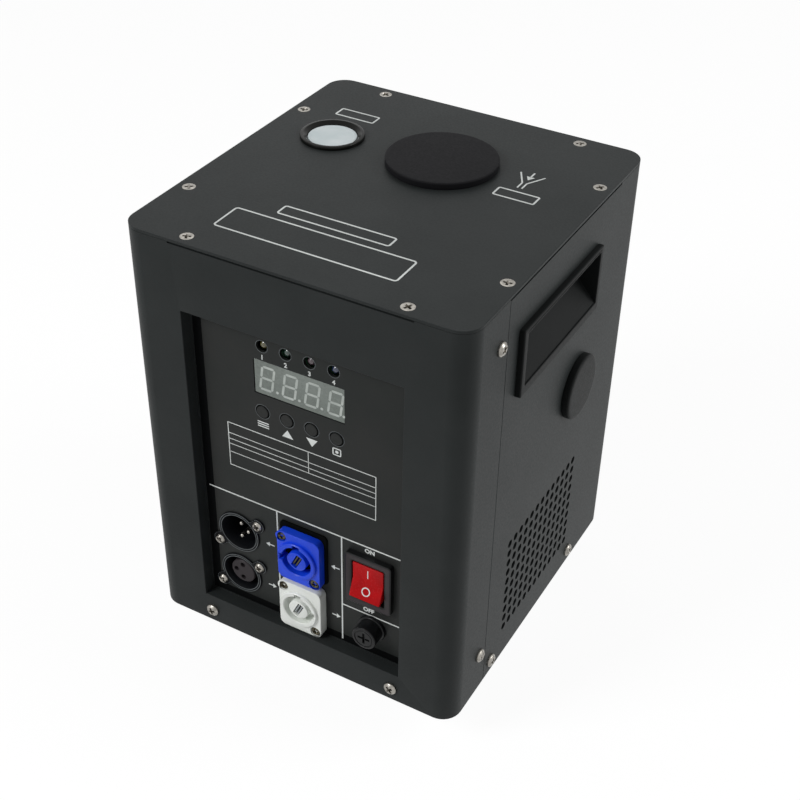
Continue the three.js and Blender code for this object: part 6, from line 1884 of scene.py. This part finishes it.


# ---------------------------------------------------------------- prints, painted shadow and painted highlights


@dataclass(frozen=True)
class Prints:
    """White prints: dividing lines, empty frames, numbers and plain marks, with a painted shadow
    band and painted highlight rings on the panel.
    """

    relief: float = 0.05
    line: float = 0.78
    fine: float = 0.45
    thin: float = 0.36
    mark_line: float = 0.6
    funnel_line: float = 0.8
    frame_line: float = 0.95
    border_relief: float = 0.03
    rim: float = 0.32
    dividers: Tuple[Tuple[Pair, Pair], ...] = (
        ((-56.5, 89.7), (55.0, 89.7)),
        ((-15.7, 19.5), (-15.7, 89.3)),
        ((22.0, 19.5), (22.0, 89.3)),
        ((22.4, 44.5), (55.0, 44.5)),
    )
    table: Tuple[Pair, Pair] = ((-42.3, 108.7), (41.3, 135.5))
    table_span: Pair = (-42.0, 41.0)
    table_rows: Tuple[float, ...] = (128.9, 125.4, 122.3, 117.3)
    table_column: Tuple[Pair, Pair] = ((4.0, 122.5), (4.0, 135.2))
    # Size and middle of the painted shadow band's outer and inner outline: wide at the left and the
    # bottom, where the window's edges shade the panel
    dark_border: Tuple[Tuple[Pair, Pair], ...] = (
        ((117.6, 179.2), (0.0, 107.65)),
        ((111.4, 173.6), (2.2, 109.8)),
    )
    up_arrow: Tuple[Pair, ...] = ((-3.1, -2.2), (3.1, -2.2), (0.0, 2.3))
    up_and_down: Tuple[Pair, Pair] = ((-7.3, 141.3), (6.3, 141.5))
    list_span: Pair = (-24.2, -17.8)
    list_z: float = 141.6
    list_pitch: float = 1.3
    key_frame: Tuple[Pair, Pair] = ((17.6, 139.4), (22.4, 143.8))
    key_dot: Pair = (20.0, 141.6)
    arrow_half: Tuple[Pair, ...] = ((2.6, 0.0), (0.4, 1.5), (0.4, 0.35), (-2.4, 0.35))
    # Place of each small arrow, and 1 where it points right or -1 where it points left
    arrows: Tuple[Triple, ...] = (
        (-20.5, 65.0, -1),
        (-20.5, 36.5, 1),
        (18.3, 67.5, -1),
        (18.3, 34.5, 1),
    )
    frames: Tuple[Tuple[Pair, Pair, float], ...] = (
        ((-53.0, -74.5), (43.0, -55.0), 2.0),
        ((-34.5, -50.5), (25.5, -42.0), 1.6),
        ((-67.0, 53.5), (-44.0, 62.0), 1.2),
        ((42.0, 17.5), (64.0, 26.0), 1.2),
    )
    funnel: Tuple[Tuple[Pair, ...], ...] = (
        ((44.5, 45.0), (49.8, 35.2), (49.8, 29.5)),
        ((57.5, 45.0), (52.2, 35.2), (52.2, 29.5)),
    )
    funnel_arrow: Tuple[Pair, Pair] = ((51.0, 47.0), (51.0, 42.0))
    funnel_tip: Tuple[Pair, ...] = ((48.9, 42.4), (51.0, 38.8), (53.1, 42.4))
    number_z: float = 181.1
    number_type: Pair = (2.6, 0.03)
    words_at: Tuple[Tuple[str, Pair], ...] = (("ON", (37.9, 87.1)), ("OFF", (37.5, 47.6)))
    word_type: Pair = (2.8, 0.045)

    def stroke(self, shape: Shape, start: Pair, end: Pair, width: float) -> None:
        """Adds a straight printed line with square ends.

        Args:
            shape: Shape that takes the line.
            start: One end.
            end: The other end.
            width: Width of the line.
        """
        a, b = np.array(start), np.array(end)
        along = (b - a) / np.linalg.norm(b - a)
        across = np.array([-along[1], along[0]]) * width / 2
        self.patch(shape, np.array([a - across, b - across, b + across, a + across]))

    def patch(self, shape: Shape, outline: np.ndarray) -> None:
        """Adds a filled outline at the relief of the print."""
        shape.prism(outline, 0.0, self.relief)

    def border(self, shape: Shape, low: Pair, high: Pair, corner: float, width: float) -> None:
        """Adds an empty frame as a closed ring between an outer and an inner outline.

        Args:
            shape: Shape that takes the frame.
            low: Lower left corner.
            high: Upper right corner.
            corner: Corner radius.
            width: Width of the line.
        """
        path = [(0.0, 0.0), (0.0, self.relief), (width, self.relief), (width, 0.0)]
        rings = framed(high[0] - low[0], high[1] - low[1], corner, path)
        middle = ((low[0] + high[0]) / 2, (low[1] + high[1]) / 2, 0.0)
        shape.loft(rings + middle, wrapped=True)

    def hole_rims(self, lamps: Lamps, buttons: Buttons) -> None:
        """Draws a fine pale ring round each lamp and button hole: a painted highlight on the hole's
        edge.

        Args:
            lamps: The lamps behind their holes.
            buttons: The buttons in their holes.
        """
        shape = Shape(Face.PANEL.at())
        # Painted highlight: each ring is pale where light catches the hole's edge.
        for part in (lamps, buttons):
            near, far = part.hole + 0.05, part.hole + self.rim
            path = [(near, 0.0), (far, 0.0), (far, self.relief), (near, self.relief)]
            for x in part.places():
                shape.loft(revolved(path, 40), wrapped=True, on=Face.PANEL.at(x, part.z))
        shape.piece("panel_hole_highlight_rims", PAINTED_EDGE_HIGHLIGHT, Slot.PANEL_COAT)

    def panel_lines(self) -> None:
        """Prints the dividing lines and the empty table, and draws the black band at the window's
        left and bottom edges as a painted shadow.
        """
        shape, (left, right) = Shape(Face.PANEL.at()), self.table_span
        for start, end in self.dividers:
            self.stroke(shape, start, end, self.line)
        self.border(shape, *self.table, 0.3, self.fine)
        for z in self.table_rows:
            self.stroke(shape, (left, z), (right, z), self.thin)
        self.stroke(shape, *self.table_column, self.thin)
        shape.piece("panel_lines_print", PRINT_INK, Slot.WHITE_PLASTIC)
        # Painted shadow: a flat black band where the window's edges shade the panel.
        outer, inner = (rectangle(*size) + middle for size, middle in self.dark_border)
        level = self.border_relief
        rings = [raised(outer, 0.0), raised(outer, level), raised(inner, level), raised(inner, 0.0)]
        shape = Shape(Face.PANEL.at()).loft(np.array(rings), wrapped=True)
        shape.piece("panel_painted_shadow_band", SHADOW_AND_GASKET_BLACK, Slot.BLACK_PLASTIC)

    def panel_marks(self) -> None:
        """Prints the arrows and plain marks beside the buttons and connectors."""
        shape, up, width = Shape(Face.PANEL.at()), np.array(self.up_arrow), self.mark_line
        for place, sign in zip(self.up_and_down, (1, -1)):
            self.patch(shape, up * sign + place)
        left, right = self.list_span
        for z in self.list_z + np.array([-1, 0, 1]) * self.list_pitch:
            self.stroke(shape, (left, z), (right, z), width)
        self.border(shape, *self.key_frame, 0.8, width)
        self.patch(shape, circle(0.9, 24) + self.key_dot)
        upper = np.array(self.arrow_half)
        outline = np.concatenate([upper[:0:-1] * (1, -1), upper])
        for x, z, sign in self.arrows:
            self.patch(shape, outline * sign + (x, z))
        shape.piece("panel_marks_print", PRINT_INK, Slot.WHITE_PLASTIC)

    def top_frames(self) -> None:
        """Prints the empty frames on the top plate and the funnel mark beside the hopper."""
        shape = Shape(Face.TOP.at())
        for low, high, corner in self.frames:
            self.border(shape, low, high, corner, self.frame_line)
        for path in self.funnel:
            for start, end in zip(path[:-1], path[1:]):
                self.stroke(shape, start, end, self.funnel_line)
        self.stroke(shape, *self.funnel_arrow, 0.9)
        self.patch(shape, np.array(self.funnel_tip))
        shape.piece("top_frames_print", PRINT_INK, Slot.WHITE_PLASTIC)

    def words(self, lamps: Lamps) -> None:
        """Prints the lamps' numbers and the words ON and OFF at the switch.

        Args:
            lamps: The lamps that the numbers stand under.
        """
        texts = [
            (str(i), f"lamp_number_{i}", Face.PANEL.at(x, self.number_z), self.number_type)
            for i, x in enumerate(lamps.places(), 1)
        ]
        for word, place in self.words_at:
            name, side = f"switch_word_{word.lower()}", Face.PANEL.at(*place)
            texts.append((word, name, side, self.word_type))
        for word, name, side, (height, weight) in texts:
            piece = lettering(word, name, side, height, self.relief, weight)
            dress(piece, PRINT_INK, Slot.WHITE_PLASTIC)

    def build(self, lamps: Lamps, buttons: Buttons) -> None:
        """Makes every print.

        Args:
            lamps: The lamps that the numbers stand under.
            buttons: The buttons whose holes get a painted highlight ring like the lamps' holes.
        """
        self.hole_rims(lamps, buttons)
        self.panel_lines()
        self.panel_marks()
        self.top_frames()
        self.words(lamps)


# ---------------------------------------------------------------- inside parts and studio


@dataclass(frozen=True)
class Interior:
    """Finishes of the CAD nodes whose own shapes stay."""

    finishes: Tuple[Tuple[str, Finish], ...] = (
        ("base_pan", ZINC_STEEL),
        ("hopper", NATURAL_PLASTIC),
        ("feed_tube", ALUMINIUM),
        ("feed_screw", SCALED_STEEL),
        ("gear_motor", ZINC_STEEL),
        ("heating_chamber", SCALED_STEEL),
        ("ceramic_sleeve", CERAMIC),
        ("induction_coil", COPPER),
        ("blower_housing", HANDLE_PLASTIC),
        ("blower_rotor", GREY_PLASTIC),
        ("fan_frame", HANDLE_PLASTIC),
        ("fan_rotor", GREY_PLASTIC),
        ("power_board", LAMINATE),
        ("display_board", LAMINATE),
        ("fuse", FUSE_GLASS),
    )

    def build(self) -> None:
        """Gives each of these nodes its finish in its own material slots."""
        for name, finish in self.finishes:
            node = frame["nodes"][name]
            for slot in node.material_slots:
                slot.material = finish.material()
            log.info("%s: keeps its shape, now %s", name, finish.name)


@dataclass(frozen=True)
class Lamp:
    """A softbox aimed at the machine: its direction in degrees, distance and size in metres."""

    name: str
    azimuth: float
    elevation: float
    distance: float
    size: float
    power: float


@dataclass(frozen=True)
class Studio:
    """Floor, surroundings, lamps and the camera at the photograph's angle."""

    azimuth: float = 28.83
    elevation: float = 36.47
    roll: float = 1.16
    target: Triple = (0.0, 0.0, 145.16)
    offset: Triple = (3.96, -11.67, 726.2)
    lens: float = 62.57
    sensor: float = 36.0
    nearest: float = 0.01
    soft_light: float = 0.15
    floor_half: float = 6.0
    floor_grey: float = 0.86
    floor_glow: float = 1.05
    floor_share: float = 0.88
    aim: Triple = (0.0, 0.0, 0.13)
    lamps: Tuple[Lamp, ...] = (
        Lamp("left_softbox", -32.0, 36.0, 1.7, 0.6, 17.0),
        Lamp("right_softbox", 112.0, 30.0, 1.7, 0.9, 14.0),
        Lamp("rear_softbox", 200.0, 55.0, 1.7, 1.0, 1.0),
        Lamp("rear_left_softbox", -130.0, 45.0, 1.7, 1.0, 1.5),
    )

    def towards(self, azimuth: float, elevation: float) -> np.ndarray:
        """Direction from the machine: (sin a cos e, -cos a cos e, sin e), azimuth 0 in front.

        Args:
            azimuth: Angle round the machine in degrees, to the right.
            elevation: Angle above the floor in degrees.

        Returns:
            A direction of length one.
        """
        a, e = math.radians(azimuth), math.radians(elevation)
        return np.array([math.sin(a) * math.cos(e), -math.cos(a) * math.cos(e), math.sin(e)])

    def camera(self) -> None:
        """Places the camera from its azimuth, elevation, roll and distance.

        Its right direction is level, and both sideways directions are turned by the roll.
        """
        a, r = math.radians(self.azimuth), math.radians(self.roll)
        back = self.towards(self.azimuth, self.elevation)
        level = np.array([math.cos(a), math.sin(a), 0.0])
        upright = np.cross(back, level)
        right = math.cos(r) * level + math.sin(r) * upright
        up = -math.sin(r) * level + math.cos(r) * upright
        axes = np.array([right, up, back])
        data = bpy.data.cameras.new("photo_camera")
        data.lens, data.sensor_width, data.clip_start = self.lens, self.sensor, self.nearest
        eye = in_scene("photo_camera", data)
        matrix = np.eye(4)
        matrix[:3, :3] = axes.T
        matrix[:3, 3] = (np.array(self.target) + np.array(self.offset) @ axes) * MM
        eye.matrix_world = Matrix(matrix.tolist())
        bpy.context.scene.camera = eye

    def seen(self, tree: Tree) -> Socket:
        """Tells the rays that show the white background: camera, gloss and glass."""
        ray = add_node(tree, "LightPath")
        total = ray.outputs["Is Camera Ray"]
        for kind in ("Is Glossy Ray", "Is Transmission Ray"):
            both = {0: total, 1: ray.outputs[kind]}
            total = add_node(tree, "Math", both, operation="ADD", use_clamp=True).outputs[0]
        return total

    def floor(self) -> None:
        """Makes a plain pale floor that shows near white and keeps a soft shadow."""
        corners = raised(rectangle(2 * self.floor_half, 2 * self.floor_half), 0.0)
        made = bpy.data.meshes.new("studio_floor")
        made.from_pydata(corners.tolist(), [], [(0, 1, 2, 3)])
        paint = bpy.data.materials.new("matt_floor_paint")
        tree, grey, glow = empty_tree(paint), self.floor_grey, self.floor_glow
        matt = add_node(tree, "BsdfDiffuse", {"Color": (grey, grey, grey, 1.0)})
        bright = add_node(tree, "Emission", {"Color": (1.0, 1.0, 1.0, 1.0), "Strength": glow})
        both = {0: self.seen(tree), 1: self.floor_share}
        share = add_node(tree, "Math", both, operation="MULTIPLY")
        inputs = {0: share.outputs[0], 1: matt.outputs[0], 2: bright.outputs[0]}
        mix = add_node(tree, "MixShader", inputs)
        add_node(tree, "OutputMaterial", {"Surface": mix.outputs[0]})
        made.materials.append(paint)
        ground = in_scene("studio_floor", made)

    def surroundings(self) -> None:
        """Makes the world: weak even light that shows as white to the rays of seen."""
        world = bpy.data.worlds.new("studio_surroundings")
        bpy.context.scene.world = world
        tree = empty_tree(world)
        inputs = {0: self.seen(tree), 1: 0.0, 2: 1.0, 3: self.soft_light, 4: 1.0}
        strength = add_node(tree, "MapRange", inputs).outputs[0]
        light = add_node(tree, "Background", {"Color": (1.0,) * 4, "Strength": strength})
        add_node(tree, "OutputWorld", {"Surface": light.outputs[0]})

    def light(self) -> None:
        """Places the softboxes and aims each at the middle of the machine."""
        aim = Vector(self.aim)
        for lamp in self.lamps:
            data = bpy.data.lights.new(lamp.name, "AREA")
            data.shape, data.size, data.energy = "SQUARE", lamp.size, lamp.power
            box = in_scene(lamp.name, data)
            place = self.towards(lamp.azimuth, lamp.elevation) * lamp.distance
            box.location = aim + Vector(place.tolist())
            box.rotation_mode = "QUATERNION"
            box.rotation_quaternion = (aim - box.location).to_track_quat("-Z", "Y")

    def build(self) -> None:
        """Makes the studio."""
        self.camera()
        self.floor()
        self.surroundings()
        self.light()
        bpy.context.scene.view_settings.view_transform = "Standard"


def main() -> None:
    """Builds the studio and every piece of the machine."""
    logging.basicConfig(level=logging.INFO, format="%(name)s: %(message)s")
    Studio().build()
    display, lamps, buttons, signals = Display(), Lamps(), Buttons(), SignalConnectors()
    powers, switch, fuse = PowerConnectors(), RockerSwitch(), FuseHolder()
    outlet, cap, fasteners, cabinet = SparkOutlet(), HopperCap(), Fasteners(), Cabinet()
    cabinet.front_shell()
    cabinet.rear_shell()
    cabinet.top_plate(outlet, cap, fasteners)
    behind = (display, switch, fuse, lamps, buttons, signals, powers)
    cabinet.control_panel([hole for part in behind for hole in part.openings()])
    parts = [Feet(), fasteners, Handles(), SidePlug(), cap, outlet, display, lamps, buttons]
    parts += [signals, powers, switch, fuse, Interior()]
    for part in parts:
        part.build()
        log.info("%s is in place", type(part).__name__)
    Prints().build(lamps, buttons)
    log.info("boxes written")


if __name__ == "__main__":
    main()
